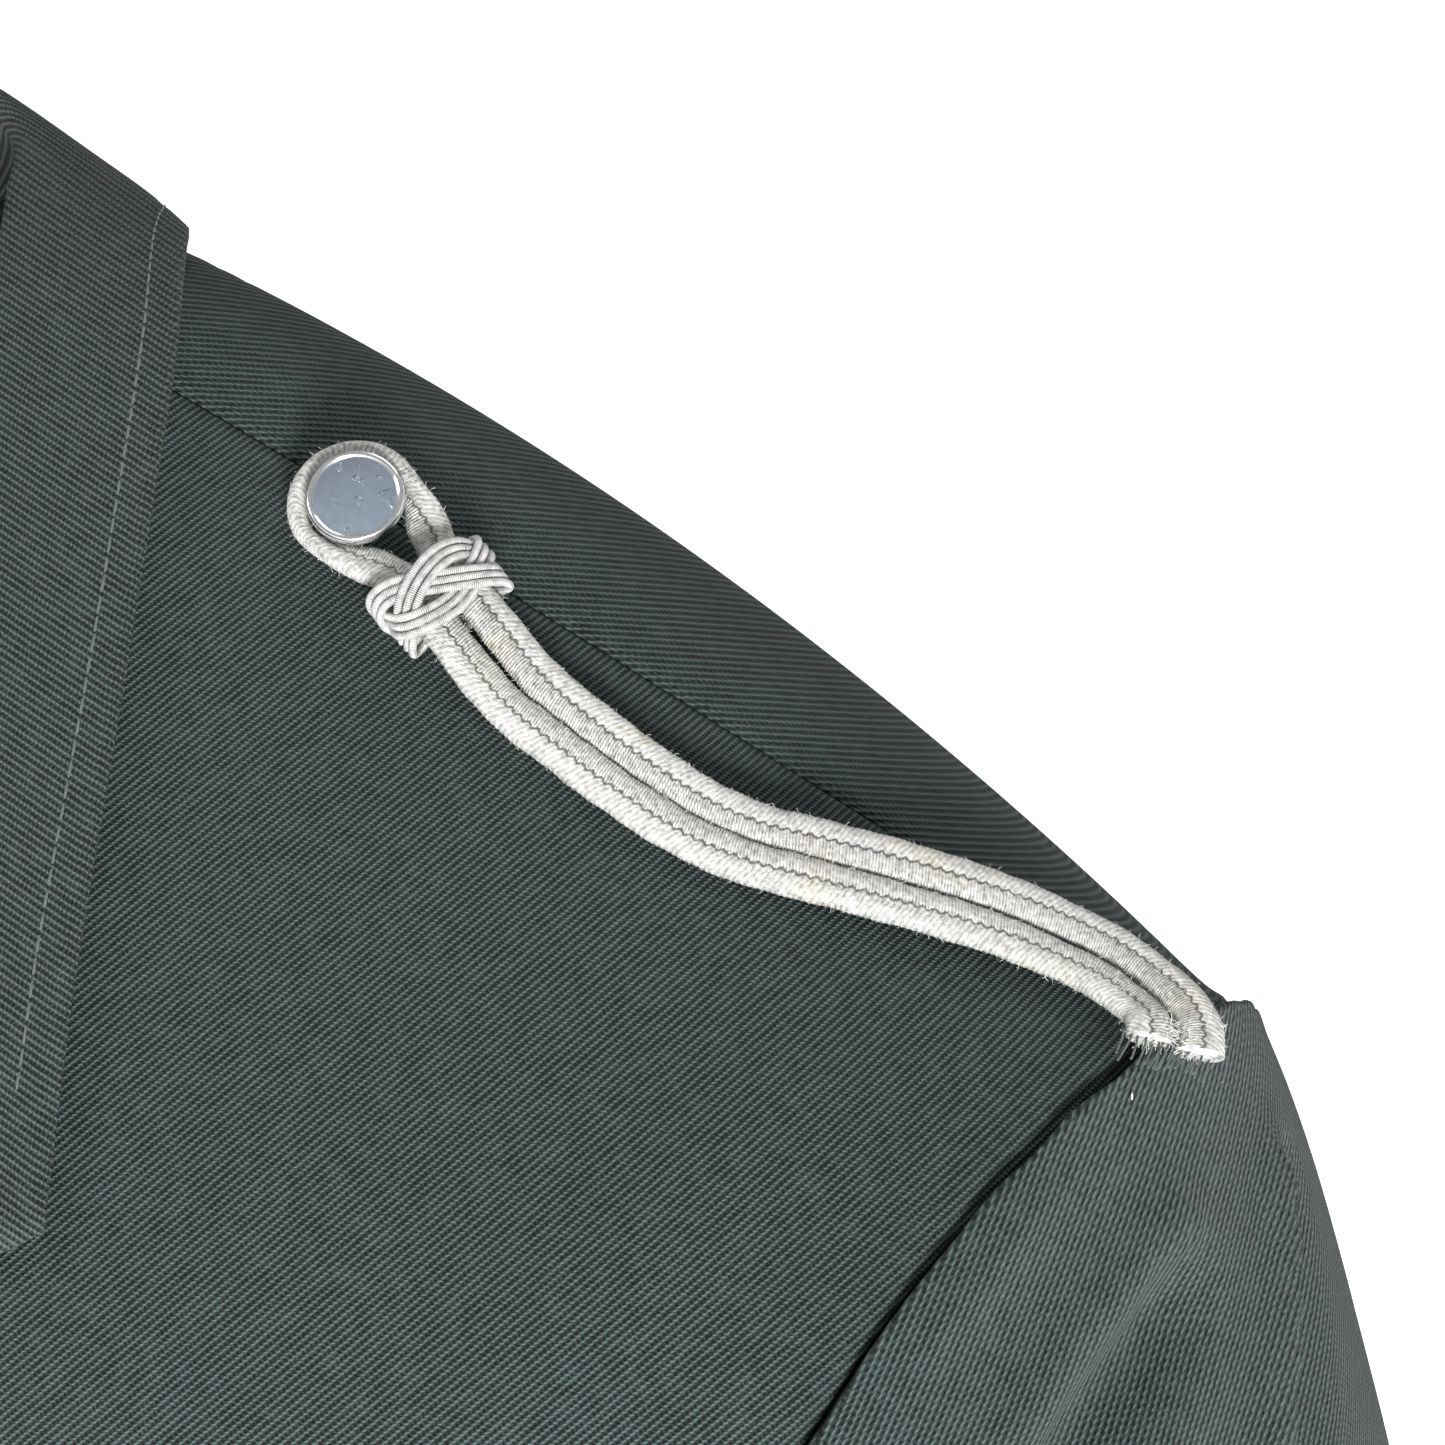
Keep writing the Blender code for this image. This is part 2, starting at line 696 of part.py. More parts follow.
# The sleeve head's way out of the armhole.
HEAD_TURN = [
    # around, outward, away from the armhole's middle, down, reach_out, reach_down
    (0.0, 0.34, 0.0, 0.94, 34, 92),
    (0.14, 0.5, 0.2, 0.83, 38, 86),
    (0.27, 0.62, 0.4, 0.66, 30, 70),
    (0.40, 0.95, 0.3, 0.35, 16, 26),
    (0.5, 1.0, 0.1, 0.2, 10, 12),
    (0.60, 0.95, 0.3, 0.35, 16, 26),
    (0.73, 0.62, 0.4, 0.66, 30, 70),
    (0.86, 0.5, 0.2, 0.83, 38, 86),
    (1.0, 0.34, 0.0, 0.94, 34, 92),
]


def sleeve_surface(u):
    """The sleeve's bare surface as rows from the armhole to the cuff."""
    u = np.asarray(u, float)
    turn = u % 1.0
    start = loop_at(turn)
    middle = ARMHOLE_MIDDLE
    radial = start - middle
    radial[:, 0] = 0
    radial = unit(radial)
    outward = np.array([1.0, 0, 0])
    down = np.array([0, 0, -1.0])
    start = start + outward * (SEAM_GAP + 0.55 + 0.6 * smooth(1 - np.abs(turn - 0.5) / 0.12)[:, None])
    roped = start + outward * ROPING_OUT + radial * ROPING_UP
    table = spline(column(HEAD_TURN, 0), np.array([row[1:] for row in HEAD_TURN]), turn)
    way = unit(outward * table[:, 0:1] + radial * table[:, 1:2] + down * table[:, 2:3])
    end = arm_ring(SLEEVE[0][1], turn)
    handle = roped + way * table[:, 3:4]
    below = arm_ring(SLEEVE[0][1] - 10, turn)
    lower = end + unit(end - below) * table[:, 4:5]
    rows = [start, start * 0.5 + roped * 0.5 + radial * 0.5]
    for t in HEAD_STEPS:
        rows.append((1 - t) ** 3 * roped + 3 * (1 - t) ** 2 * t * handle + 3 * (1 - t) * t * t * lower + t**3 * end)
    for k in range(1, ARM_ROWS + 1):
        level = SLEEVE[0][1] + (SLEEVE[-1][1] - SLEEVE[0][1]) * k / ARM_ROWS
        ring = arm_ring(level, turn)
        share = smooth((k / ARM_ROWS - 0.6) / 0.4)
        ring[:, 2] += CUFF_TILT * share * np.sin(2 * math.pi * turn)
        rows.append(ring)
    return np.array(rows)


ARMHOLE_MIDDLE = loop_at(np.linspace(0, 1, 60, endpoint=False)).mean(axis=0)


def sleeve_normals(u):
    """Outward normals of the sleeve's rows."""
    step = 0.004
    across = sleeve_surface(u + step) - sleeve_surface(u - step)
    along = np.gradient(sleeve_surface(u), axis=0)
    return unit(np.cross(along, across))


def sleeve_piece(u):
    """One piece of the sleeve with its columns at u, first and last on its seams."""
    count = len(u)
    grid = sleeve_surface(u)
    normal = sleeve_normals(u)
    down = np.concatenate([[0], np.cumsum(np.linalg.norm(np.diff(grid[:, count // 2], axis=0), axis=1))])
    height = fold_height(SLEEVE_FOLDS, (u % 1.0)[None, :], down[:, None], 400.0)
    height *= smooth(down / 30.0)[:, None]
    grid = grid + normal * height[..., None]
    half = SEAM_GAP / 2
    inner = grid - normal * CLOTH
    for side, near in ((0, 1), (-1, -2)):
        way = unit(grid[:, near] - grid[:, side])
        grid[:, side] += way * half
        inner[:, side] += way * half
    return wall(grid, inner)


def round_at(along):
    """The way round at which the armhole passes along."""
    line = ARMHOLE_LINE
    top = np.abs(line[:, 0] - CREST).argmin()
    place = np.interp(along, line[:, 0], np.arange(len(line)))
    return (top - place) / (len(line) - 1)


TOP_PIECE = round_at(np.array(ARM_BACK[:-4] + ARM_FRONT[3:-1], float))
TOP_PIECE = np.sort(TOP_PIECE)
UNDER_PIECE = round_at(np.array(ARM_FRONT[:4], float))
UNDER_PIECE = np.concatenate([np.sort(UNDER_PIECE), np.sort(round_at(np.array(ARM_BACK[-5:-1], float)) + 1.0)])
for hand, flip in (("left", False), ("right", True)):
    make("sleeve_top_" + hand, sleeve_piece(TOP_PIECE), cloth_material, mirror=flip)
    make("sleeve_under_" + hand, sleeve_piece(UNDER_PIECE), cloth_material, mirror=flip)

# Shoulder braid
LEG_STEPS = 26
LOOP_STEPS = 12
BRAID_AROUND = 12


def braid_frame(s):
    """The middle line of the braid: point, way along, way across and way up."""
    table = np.array(BRAID, float)
    knots = np.arange(len(table), dtype=float)
    dense = spline(knots, table, np.linspace(0, knots[-1], 400))
    line = on_left_base(dense[:, 0], dense[:, 1], dense[:, 2])
    length = np.concatenate([[0], np.cumsum(np.linalg.norm(np.diff(line, axis=0), axis=1))])
    place = np.interp(s, length, np.arange(400))
    point = np.stack([np.interp(place, np.arange(400), line[:, k]) for k in range(3)], axis=-1)
    ways = unit(np.gradient(line, axis=0))
    way = unit(np.stack([np.interp(place, np.arange(400), ways[:, k]) for k in range(3)], axis=-1))
    normals = torso_normal(share_at(dense[:, 0], dense[:, 1]), dense[:, 1])
    up = unit(np.stack([np.interp(place, np.arange(400), normals[:, k]) for k in range(3)], axis=-1))
    across = unit(np.cross(up, way))
    up = unit(np.cross(way, across))
    return point, way, across, up, length[-1]


def braid():
    """Both legs and the loop as one swept band with two lobes."""
    length = braid_frame(np.array([0.0]))[4]
    apart = (LEG_WIDTH + LEG_SPACE) / 2
    legs = KNOT_AT - KNOT_LONG / 2
    places = []
    for s in np.linspace(length, legs, LEG_STEPS):
        places.append((s, apart, 0.0, 0.0))
    for s in np.linspace(legs, 0, 6)[1:-1]:
        turn = smooth((legs - s) / legs)
        side = apart + (LOOP_RADIUS - apart) * turn
        places.append((s, side, turn, 0.0))
    for angle in np.linspace(0, math.pi / 2, LOOP_STEPS // 2):
        places.append((0.0, LOOP_RADIUS, 1.0, angle))
    centres = []
    for s, side, turn, angle in places:
        point, way, across, up, _ = braid_frame(np.array([s]))
        up = unit(up + np.array(LOOP_LEAN) * turn)
        across = unit(across - np.sum(across * up) * up)
        way = np.cross(across, up)
        out = across[0] * math.cos(angle) - way[0] * math.sin(angle)
        centres.append((point[0] + out * side, out, up[0], turn, s, way[0], point[0]))
    other = []
    for centre, out, up, turn, s, way, point in centres[:-1]:
        side = (centre - point) @ np.cross(up, way)
        flip = np.cross(up, way)
        other.append((centre - 2 * side * flip, out - 2 * (out @ flip) * flip, up, turn, s, way, point))
    path = centres + other[::-1]
    middle = np.array([row[0] for row in path])
    ways = unit(np.gradient(middle, axis=0))
    rings = []
    for k, (centre, out, up, turn, _, _, _) in enumerate(path):
        side = unit(out - (out @ ways[k]) * ways[k])
        top = unit(np.cross(ways[k], side))
        if top @ up < 0:
            top = -top
        lean = math.pi / 2 * turn
        wide = side * math.cos(lean) + top * math.sin(lean)
        thick = top * math.cos(lean) - side * math.sin(lean)
        angle = 2 * math.pi * np.arange(BRAID_AROUND) / BRAID_AROUND
        half = LEG_WIDTH / 2 * (1 - 0.4 * turn)
        pinch = 0.72 + 0.28 * np.abs(np.cos(angle)) ** 0.5 * np.abs(np.sin(angle)) ** 0.2 / 0.9
        depth = LEG_THICK / 2 * (1 - 0.12 * turn) * pinch
        ring = centre + np.outer(half * np.cos(angle), wide) + np.outer(depth * np.sin(angle), thick)
        rings.append(ring)
    return tube(np.array(rings))


make("cord_left", braid(), braid_material)
make("cord_right", braid(), braid_material, mirror=True)

# Knot
KNOT_AROUND = 26
KNOT_SECTION = 10


def knot():
    """A woven slider that holds both legs together."""
    point, way, across, up, _ = braid_frame(np.array([KNOT_AT]))
    point, way, across, up = point[0], way[0], across[0], up[0]
    rings = []
    for k in range(KNOT_AROUND):
        angle = 2 * math.pi * k / KNOT_AROUND
        c, s = math.cos(angle), math.sin(angle)
        outer = np.array([KNOT_HALF_WIDTH * c, KNOT_HALF_HEIGHT * s])
        inner = np.array([KNOT_HOLE_WIDTH * c, KNOT_HOLE_HEIGHT * s])
        square = (abs(c) ** 3 + abs(s) ** 3) ** (-1 / 3)
        inner = inner * square
        outer = outer * (0.5 + 0.5 * square)
        middle = (outer + inner) / 2
        thick = (outer - inner) / 2
        ring = []
        for j in range(KNOT_SECTION):
            turn = 2 * math.pi * j / KNOT_SECTION
            swell = 1 + 0.09 * math.cos(3 * angle + 2 * turn)
            radial = middle + thick * math.cos(turn) * (swell if math.cos(turn) > 0 else 1.0)
            along = KNOT_LONG / 2 * math.sin(turn) * (1 + 0.05 * math.sin(3 * angle))
            ring.append(point + across * radial[0] + up * radial[1] + way * along)
        rings.append(ring)
    return ring_solid(np.array(rings))


make("knot_left", knot(), braid_material)
make("knot_right", knot(), braid_material, mirror=True)

# Buttons, turned profiles from the top of the dome down to the shank
SHOULDER_PROFILE = [
    # radius, height over the cloth
    (0.0, 10.0),
    (3.3, 9.8),
    (5.7, 9.2),
    (6.0, 9.5),
    (6.7, 9.4),
    (6.9, 8.9),
    (6.8, 7.9),
    (5.9, 7.5),
    (1.6, 7.4),
    (1.6, 0.45),
    (0.0, 0.45),
]
FRONT_PROFILE = [
    (0.0, 4.3),
    (5.2, 4.0),
    (8.8, 3.2),
    (9.3, 3.6),
    (10.2, 3.5),
    (10.5, 3.0),
    (10.3, 1.9),
    (2.4, 1.4),
    (2.4, 0.4),
    (0.0, 0.4),
]
BUTTON_STEPS = 20


def turned(profile, point, up, aside):
    """A profile turned round the line that stands on point."""
    second = np.cross(up, aside)
    vertices = [point + up * profile[0][1]]
    for radius, height in profile[1:-1]:
        for k in range(BUTTON_STEPS):
            angle = 2 * math.pi * k / BUTTON_STEPS
            side = aside * math.cos(angle) + second * math.sin(angle)
            vertices.append(point + up * height + side * radius)
    vertices.append(point + up * profile[-1][1])
    faces = []
    for k in range(BUTTON_STEPS):
        n = (k + 1) % BUTTON_STEPS
        faces.append((0, 1 + k, 1 + n))
        for ring in range(len(profile) - 3):
            a = 1 + ring * BUTTON_STEPS
            b = a + BUTTON_STEPS
            faces.append((a + k, b + k, b + n, a + n))
        a = 1 + (len(profile) - 3) * BUTTON_STEPS
        faces.append((a + k, len(vertices) - 1, a + n))
    return np.array(vertices), faces


def shoulder_button():
    """The button that the braid is looped over."""
    share = share_at(np.array(BRAID[0][0]), np.array(BRAID[0][1]))
    point = torso(share, np.array(BRAID[0][1]))
    up = torso_normal(share, np.array(BRAID[0][1]))
    up = unit(up + np.array(BUTTON_LEAN))
    across = braid_frame(np.array([0.0]))[2]
    aside = unit(across[0] - (across[0] @ up) * up)
    return turned(SHOULDER_PROFILE, point, up, aside)


make("shoulder_button_left", shoulder_button(), button_material)
make("shoulder_button_right", shoulder_button(), button_material, mirror=True)


def front_button(along):
    """A closing button on the left front."""
    q = np.array(float(along))
    point = on_front(np.array(0.0), q, np.array(0.0), True)
    up = torso_normal(np.array(0.0), q)
    return turned(FRONT_PROFILE, point, up, np.array([1.0, 0, 0]))


for number, place in enumerate(FRONT_BUTTONS):
    make("front_button_%d" % (number + 1), front_button(place), button_material)
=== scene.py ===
# %% [markdown]
# A dress jacket, seen close on the wearer's left shoulder
#
# The jacket is whipcord, a steep twill wool. A silver braid is looped over a small button
# beside the collar and sewn down where the sleeve starts. The CAD frame is loaded first, and
# every piece made here lies on one of its solids. Lengths in the tables are millimetres.

# %% Load the frame
import math

import bpy
import numpy as np
from mathutils import Matrix, Vector


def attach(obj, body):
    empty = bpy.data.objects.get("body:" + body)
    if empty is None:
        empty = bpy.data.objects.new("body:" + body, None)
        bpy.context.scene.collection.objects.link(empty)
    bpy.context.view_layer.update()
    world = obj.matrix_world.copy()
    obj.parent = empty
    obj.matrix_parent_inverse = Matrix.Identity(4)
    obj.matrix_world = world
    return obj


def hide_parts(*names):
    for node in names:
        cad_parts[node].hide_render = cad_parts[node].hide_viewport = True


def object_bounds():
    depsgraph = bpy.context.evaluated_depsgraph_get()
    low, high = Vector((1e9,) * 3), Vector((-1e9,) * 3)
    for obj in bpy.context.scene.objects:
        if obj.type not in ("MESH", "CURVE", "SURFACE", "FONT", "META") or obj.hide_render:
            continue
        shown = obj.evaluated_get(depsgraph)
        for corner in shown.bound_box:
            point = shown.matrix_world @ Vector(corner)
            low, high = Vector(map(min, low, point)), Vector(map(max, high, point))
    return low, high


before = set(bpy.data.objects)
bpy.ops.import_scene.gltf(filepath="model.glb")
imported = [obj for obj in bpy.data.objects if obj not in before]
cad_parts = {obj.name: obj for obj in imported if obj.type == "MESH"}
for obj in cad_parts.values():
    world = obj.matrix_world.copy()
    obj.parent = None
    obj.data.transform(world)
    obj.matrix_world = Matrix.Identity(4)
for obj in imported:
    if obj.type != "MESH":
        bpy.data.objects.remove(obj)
cad_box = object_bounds()
MM = 0.001
print("frame nodes:", len(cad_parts))

# %% [markdown]
# The camera
#
# A photograph gives its own viewpoint: the way two seams cross and how round a button looks
# fix the direction, and the size of known parts fixes the distance. The camera is aimed at a
# point on the shoulder and turned a little round its own line of sight.

# %% Aim the camera
VIEW_AROUND, VIEW_UP, VIEW_ROLL = 24.0, 25.0, 3.0
VIEW_DISTANCE = 0.6
VIEW_TARGET = Vector((0.178, -0.020, -0.013))
PICTURE_SIDE = 1445
PIXELS_PER_MM = 7.6
SENSOR = 36.0

turn, tilt, roll = (math.radians(v) for v in (VIEW_AROUND, VIEW_UP, VIEW_ROLL))
view_back = Vector((math.sin(turn) * math.cos(tilt), -math.cos(turn) * math.cos(tilt), math.sin(tilt)))
level_right = Vector((math.cos(turn), math.sin(turn), 0))
level_up = view_back.cross(level_right)
view_right = level_right * math.cos(roll) + level_up * math.sin(roll)
view_top = level_up * math.cos(roll) - level_right * math.sin(roll)

lens = bpy.data.cameras.new("shoulder_camera")
camera = bpy.data.objects.new("shoulder_camera", lens)
bpy.context.scene.collection.objects.link(camera)
placed = Matrix((view_right, view_top, view_back)).transposed().to_4x4()
placed.translation = VIEW_TARGET + view_back * VIEW_DISTANCE
camera.matrix_world = placed
lens.sensor_width = SENSOR
lens.lens = SENSOR * VIEW_DISTANCE / (PICTURE_SIDE / PIXELS_PER_MM * MM)
lens.clip_start = 0.01
bpy.context.scene.camera = camera
print("lens", round(lens.lens, 1), "mm")

# %% [markdown]
# Writing shader maths
#
# A shader is a graph of nodes. Small sums are easier to read as sums, so a socket is wrapped
# in a class whose operators add Math nodes, and one method makes every other node.


# %% A socket that can be added and multiplied
class Wire:
    """A node's output with arithmetic."""

    def __init__(self, tree, socket):
        self.tree = tree
        self.socket = socket

    def math(self, kind, *others):
        return self.tree.node("ShaderNodeMath", {"operation": kind}, [self, *others])

    def __add__(self, other):
        return self.math("ADD", other)

    def __sub__(self, other):
        return self.math("SUBTRACT", other)

    def __mul__(self, other):
        return self.math("MULTIPLY", other)

    def __truediv__(self, other):
        return self.math("DIVIDE", other)

    def __pow__(self, other):
        return self.math("POWER", other)

    def __rsub__(self, other):
        return self.math("MULTIPLY", -1.0).math("ADD", other)

    __radd__ = __add__
    __rmul__ = __mul__

    def wave(self):
        """0 to 1 and back for each whole step of the value."""
        return (self * (2 * math.pi)).math("COSINE") * 0.5 + 0.5

    def clamped(self):
        return self.tree.node("ShaderNodeClamp", {}, [self, 0.0, 1.0])


class Finish:
    """A material being made, with its shader."""

    def __init__(self, name, roughness, metallic=0.0, **constants):
        self.material = bpy.data.materials.new(name)
        self.material.use_nodes = True
        self.nodes = self.material.node_tree.nodes
        self.links = self.material.node_tree.links
        self.shader = self.nodes["Principled BSDF"]
        self.shader.inputs["Roughness"].default_value = roughness
        self.shader.inputs["Metallic"].default_value = metallic
        for key, value in constants.items():
            self.shader.inputs[key.replace("_", " ")].default_value = value

    def node(self, kind, settings, sockets, out=0):
        """One node: its settings first, then the values or wires of its inputs."""
        node = self.nodes.new(kind)
        for key, value in settings.items():
            if key == "stops":
                ramp = node.color_ramp
                while len(ramp.elements) < len(value):
                    ramp.elements.new(0.5)
                for element, (place, colour) in zip(ramp.elements, value):
                    element.position = place
                    element.color = (*colour, 1.0)
            else:
                setattr(node, key, value)
        pairs = sockets.items() if isinstance(sockets, dict) else enumerate(sockets)
        for key, value in pairs:
            if value is None:
                continue
            if isinstance(value, Wire):
                self.links.new(value.socket, node.inputs[key])
            elif isinstance(value, (tuple, list)) and len(value) == 3 and node.inputs[key].type == "RGBA":
                node.inputs[key].default_value = (*value, 1.0)
            else:
                node.inputs[key].default_value = value
        return Wire(self, node.outputs[out])

    def object_place(self):
        return self.node("ShaderNodeTexCoord", {}, [], "Object")

    def noise(self, scale, detail=2.0, place=None, roughness=0.5):
        place = self.object_place() if place is None else place
        return self.node("ShaderNodeTexNoise", {}, {"Vector": place, "Scale": scale, "Detail": detail, "Roughness": roughness}, "Fac")

    def woven(self):
        """The piece's own two coordinates across and along its threads."""
        place = self.node("ShaderNodeUVMap", {"uv_map": "weave"}, [])
        split = self.nodes.new("ShaderNodeSeparateXYZ")
        self.links.new(place.socket, split.inputs[0])
        return Wire(self, split.outputs[0]), Wire(self, split.outputs[1])

    def blend(self, share, first, second, kind="MIX"):
        """A colour between first and second."""
        return self.node("ShaderNodeMix", {"data_type": "RGBA", "blend_type": kind}, {0: share, 6: first, 7: second}, 2)

    def colour(self, wire):
        self.links.new(wire.socket, self.shader.inputs["Base Color"])

    def rough(self, wire):
        self.links.new(wire.socket, self.shader.inputs["Roughness"])

    def relief(self, height, depth, strength=1.0):
        bump = self.node("ShaderNodeBump", {}, {"Height": height, "Distance": depth, "Strength": strength})
        self.links.new(bump.socket, self.shader.inputs["Normal"])


# %% [markdown]
# Whipcord
#
# The face of whipcord is a row of smooth raised ribs with a dotted sunk line between them.
# The weave's coordinates count ribs across and dots along, so the ribs follow each cut piece
# round the body. Real cloth is never one even tone: broad noise shades it, and fine noise
# gives the wool its fibres. A weak sheen stands for the nap that catches light at the edges.


# %% Make the wool finishes
RIB_DEPTH = 0.0005


def whipcord(name, groove_shade, rib, warm):
    finish = Finish(name, 0.88, Sheen_Weight=0.05, Sheen_Roughness=0.5, Specular_IOR_Level=0.15)
    across, along = finish.woven()
    wander = finish.noise(160.0, 3.0)
    across = across + (wander - 0.5) * 0.16
    crest = across.wave()
    row = across.math("FLOOR")
    dots = (along + row * 0.37 + (wander - 0.5) * 0.5).wave()
    fibre = finish.noise(3600.0, 3.0, roughness=0.65)
    cloud = finish.noise(34.0, 3.0)
    patch = finish.noise(420.0, 2.0)
    sunk = 1 - crest
    twist = (along + across * 0.9 + (wander - 0.5) * 0.6).wave()
    # The rib crests are painted lighter and the sunk lines between them painted near black, as painted shade in the
    # grooves; the fibre and patch noise is the wool's own uneven tone.
    light = (crest ** 2.0) * (0.5 + twist * 0.85) + sunk * dots * 0.22 + (fibre - 0.5) * 1.1 + (patch - 0.5) * 0.45
    base = finish.blend(light.clamped(), groove_shade, rib)
    base = finish.blend(((cloud - 0.42) * 1.7).clamped(), base, finish.blend(1.0, base, warm, "MULTIPLY"))
    finish.colour(base)
    finish.relief(crest * (0.65 + twist * 0.3) + sunk * dots * 0.4 + fibre * 0.35, RIB_DEPTH)
    return finish.material


cloth_finish = whipcord("whipcord", (0.0025, 0.0045, 0.0042), (0.066, 0.096, 0.092), (1.08, 0.98, 0.94))
collar_finish = whipcord("collar_whipcord", (0.003, 0.0045, 0.0042), (0.076, 0.102, 0.093), (1.1, 0.98, 0.93))
print("wool finishes made")

# %% [markdown]
# The garment's form
#
# The body of the jacket is one smooth surface given by a table of level sections, from the
# front hem over the shoulder to the back hem. A natural cubic through the sections makes it
# smooth. The CAD solids come from the same table, so the finer pieces made here lie on them.

# %% The sections of the body
FORM = [
    # along, half_width, mid_y, side_y, mid_z, side_z, square, droop
    (0, 206, -142, -4, -760, -760, 2.3, 1.0),
    (110, 203, -141, -2, -650, -650, 2.3, 1.0),
    (320, 180, -124, 4, -440, -440, 2.3, 1.0),
    (495, 200, -150, 4, -268, -268, 2.35, 1.0),
    (600, 216, -142, -22, -165, -168, 2.3, 1.0),
    (680, 236, -108, -52, -80, -102, 2.2, 1.05),
    (745, 247, -56, -30, -18, -66, 2.1, 1.12),
    (795, 252, 0, 10, 30, -60, 2.0, 1.23),
    (845, 247, 52, 46, 13, -85, 2.1, 1.76),
    (910, 238, 100, 68, -44, -110, 2.2, 1.76),
    (1000, 220, 134, 36, -140, -165, 2.3, 1.0),
    (1110, 200, 142, 4, -268, -268, 2.35, 1.0),
    (1285, 180, 110, 4, -440, -440, 2.3, 1.0),
    (1495, 203, 130, -2, -650, -650, 2.3, 1.0),
    (1605, 206, 138, -4, -760, -760, 2.3, 1.0),
]
CREST, CHEST_FRONT, CHEST_BACK, HEM_BACK = 795.0, 495.0, 1110.0, 1605.0
CLOTH = 1.6
SEAM_GAP = 0.36


def columns(table, first=0):
    return np.array([row[first:] for row in table], float).T


def smooth(t):
    t = np.clip(t, 0, 1)
    return t * t * (3 - 2 * t)


def unit(v):
    return v / np.maximum(np.linalg.norm(v, axis=-1, keepdims=True), 1e-12)


def bends(knots, flat):
    """Second derivatives of the natural cubic through each column of flat."""
    gap = np.diff(knots)
    matrix = np.eye(len(knots))
    right = np.zeros_like(flat)
    for k in range(1, len(knots) - 1):
        matrix[k, k - 1 : k + 2] = gap[k - 1], 2 * (gap[k - 1] + gap[k]), gap[k]
        right[k] = 6 * ((flat[k + 1] - flat[k]) / gap[k] - (flat[k] - flat[k - 1]) / gap[k - 1])
    return np.linalg.solve(matrix, right)


def cubic(knots, values, at, each=None):
    """The natural cubic through values, read at the numbers in at."""
    knots = np.asarray(knots, float)
    values = np.asarray(values, float)
    flat = values.reshape(len(knots), -1) if each is None else values
    bend = bends(knots, flat.reshape(len(knots), -1)).reshape(flat.shape)
    where = np.clip(np.asarray(at, float), knots[0], knots[-1])
    n = np.clip(np.searchsorted(knots, where) - 1, 0, len(knots) - 2)
    gap = np.diff(knots)[n]
    a = ((knots[n + 1] - where) / gap)[..., None]
    b = ((where - knots[n]) / gap)[..., None]
    low, high = (n, n + 1) if each is None else ((n, each), (n + 1, each))
    out = a * flat[low] + b * flat[high]
    out = out + ((a**3 - a) * bend[low] + (b**3 - b) * bend[high]) * (gap**2)[..., None] / 6
    return out if each is not None else out.reshape(where.shape + values.shape[1:])


def bare(p, q):
    """The surface of FORM. p is the share from the middle to the side, q is along."""
    angle = np.abs(p) * math.pi / 2
    wide, mid_y, side_y, mid_z, side_z, square, droop = (v[:, None] for v in columns(FORM, 1))
    out = np.clip(np.sin(angle).ravel(), 0, None)[None] ** (2 / square)
    fore = 1 - np.maximum(np.cos(angle), 0).ravel()[None] ** (2 / square)
    x = wide * out * np.sign(p).ravel()
    y = mid_y + (side_y - mid_y) * fore
    z = mid_z + (side_z - mid_z) * out**droop
    lines = np.stack([x, y, z], axis=-1)
    return cubic(columns(FORM)[0], lines, q.ravel(), np.arange(p.size)).reshape(p.shape + (3,))


def torso(p, q):
    """The bare garment, its side seams joined below the chest."""
    p, q = np.broadcast_arrays(np.asarray(p, float), np.asarray(q, float))
    level = np.maximum(np.maximum(CHEST_FRONT - q, q - CHEST_BACK), 0.0)
    side = np.sign(p) + (p == 0)
    front = bare(side, CHEST_FRONT - level)
    back = bare(side, CHEST_BACK + level)
    own = np.where((q < CREST)[..., None], front, back)
    share = smooth((np.abs(p) - 0.55) / 0.45) * (level > 0)
    return bare(p, q) + ((front + back) / 2 - own) * share[..., None]


def torso_normal(p, q):
    p, q = np.broadcast_arrays(np.asarray(p, float), np.asarray(q, float))
    step = 0.002
    high = np.minimum(p + step, 1.0)
    low = np.clip(q, 1.0, HEM_BACK - 1.0)
    return unit(np.cross(torso(high, q) - torso(high - 2 * step, q), torso(p, low + 1.0) - torso(p, low - 1.0)))


def share_at(x, q):
    """The share at which the surface is x from the middle, found by halving."""
    x, q = np.broadcast_arrays(np.asarray(x, float), np.asarray(q, float))
    low, high = np.zeros(x.shape), np.ones(x.shape)
    for _ in range(24):
        middle = (low + high) / 2
        inside = torso(middle, q)[..., 0] < np.abs(x)
        low, high = np.where(inside, middle, low), np.where(inside, high, middle)
    return (low + high) / 2 * np.sign(x)


def on_base(x, q, height):
    """A point over the bare surface, named by its distance from the middle."""
    p = share_at(x, q)
    return torso(p, q) + torso_normal(p, q) * np.asarray(height, float)[..., None]


print("crest at the middle", torso(0.0, CREST).round(1))

# %% [markdown]
# Folds
#
# Cloth on a body is never smooth: broad soft folds hang from where it is held. The broad ones
# are in the solids and are repeated here. Finer creases are lines in space with a reach and a
# height, positive for a ridge and negative for a trough, uneven on purpose.

# %% Tables of folds and creases
FRONT_FOLDS = [
    # from_x, from_along, to_x, to_along, reach, height
    (150, 560, 120, 330, 16, 2.2),
    (176, 520, 158, 300, 12, -2.0),
    (60, 250, 96, 40, 20, 1.8),
    (128, 240, 150, 10, 20, 2.0),
]
BACK_FOLDS = [
    (150, 1010, 120, 1240, 18, 2.2),
    (176, 1060, 160, 1300, 12, -2.0),
    (70, 1330, 92, 1590, 22, 2.0),
    (140, 1360, 156, 1600, 20, 1.8),
]
SLEEVE_FOLDS = [
    # from_around, from_down, to_around, to_down, reach, height
    (0.06, 40, 0.25, 175, 11, 2.2),
    (0.03, 60, 0.22, 210, 10, -1.8),
    (0.30, 230, 0.16, 330, 14, 2.0),
    (0.40, 300, 0.24, 390, 12, -1.8),
    (0.62, 320, 0.78, 420, 14, 1.8),
    (0.22, 400, 0.10, 520, 14, 1.6),
    (0.92, 60, 0.80, 200, 12, 1.8),
]
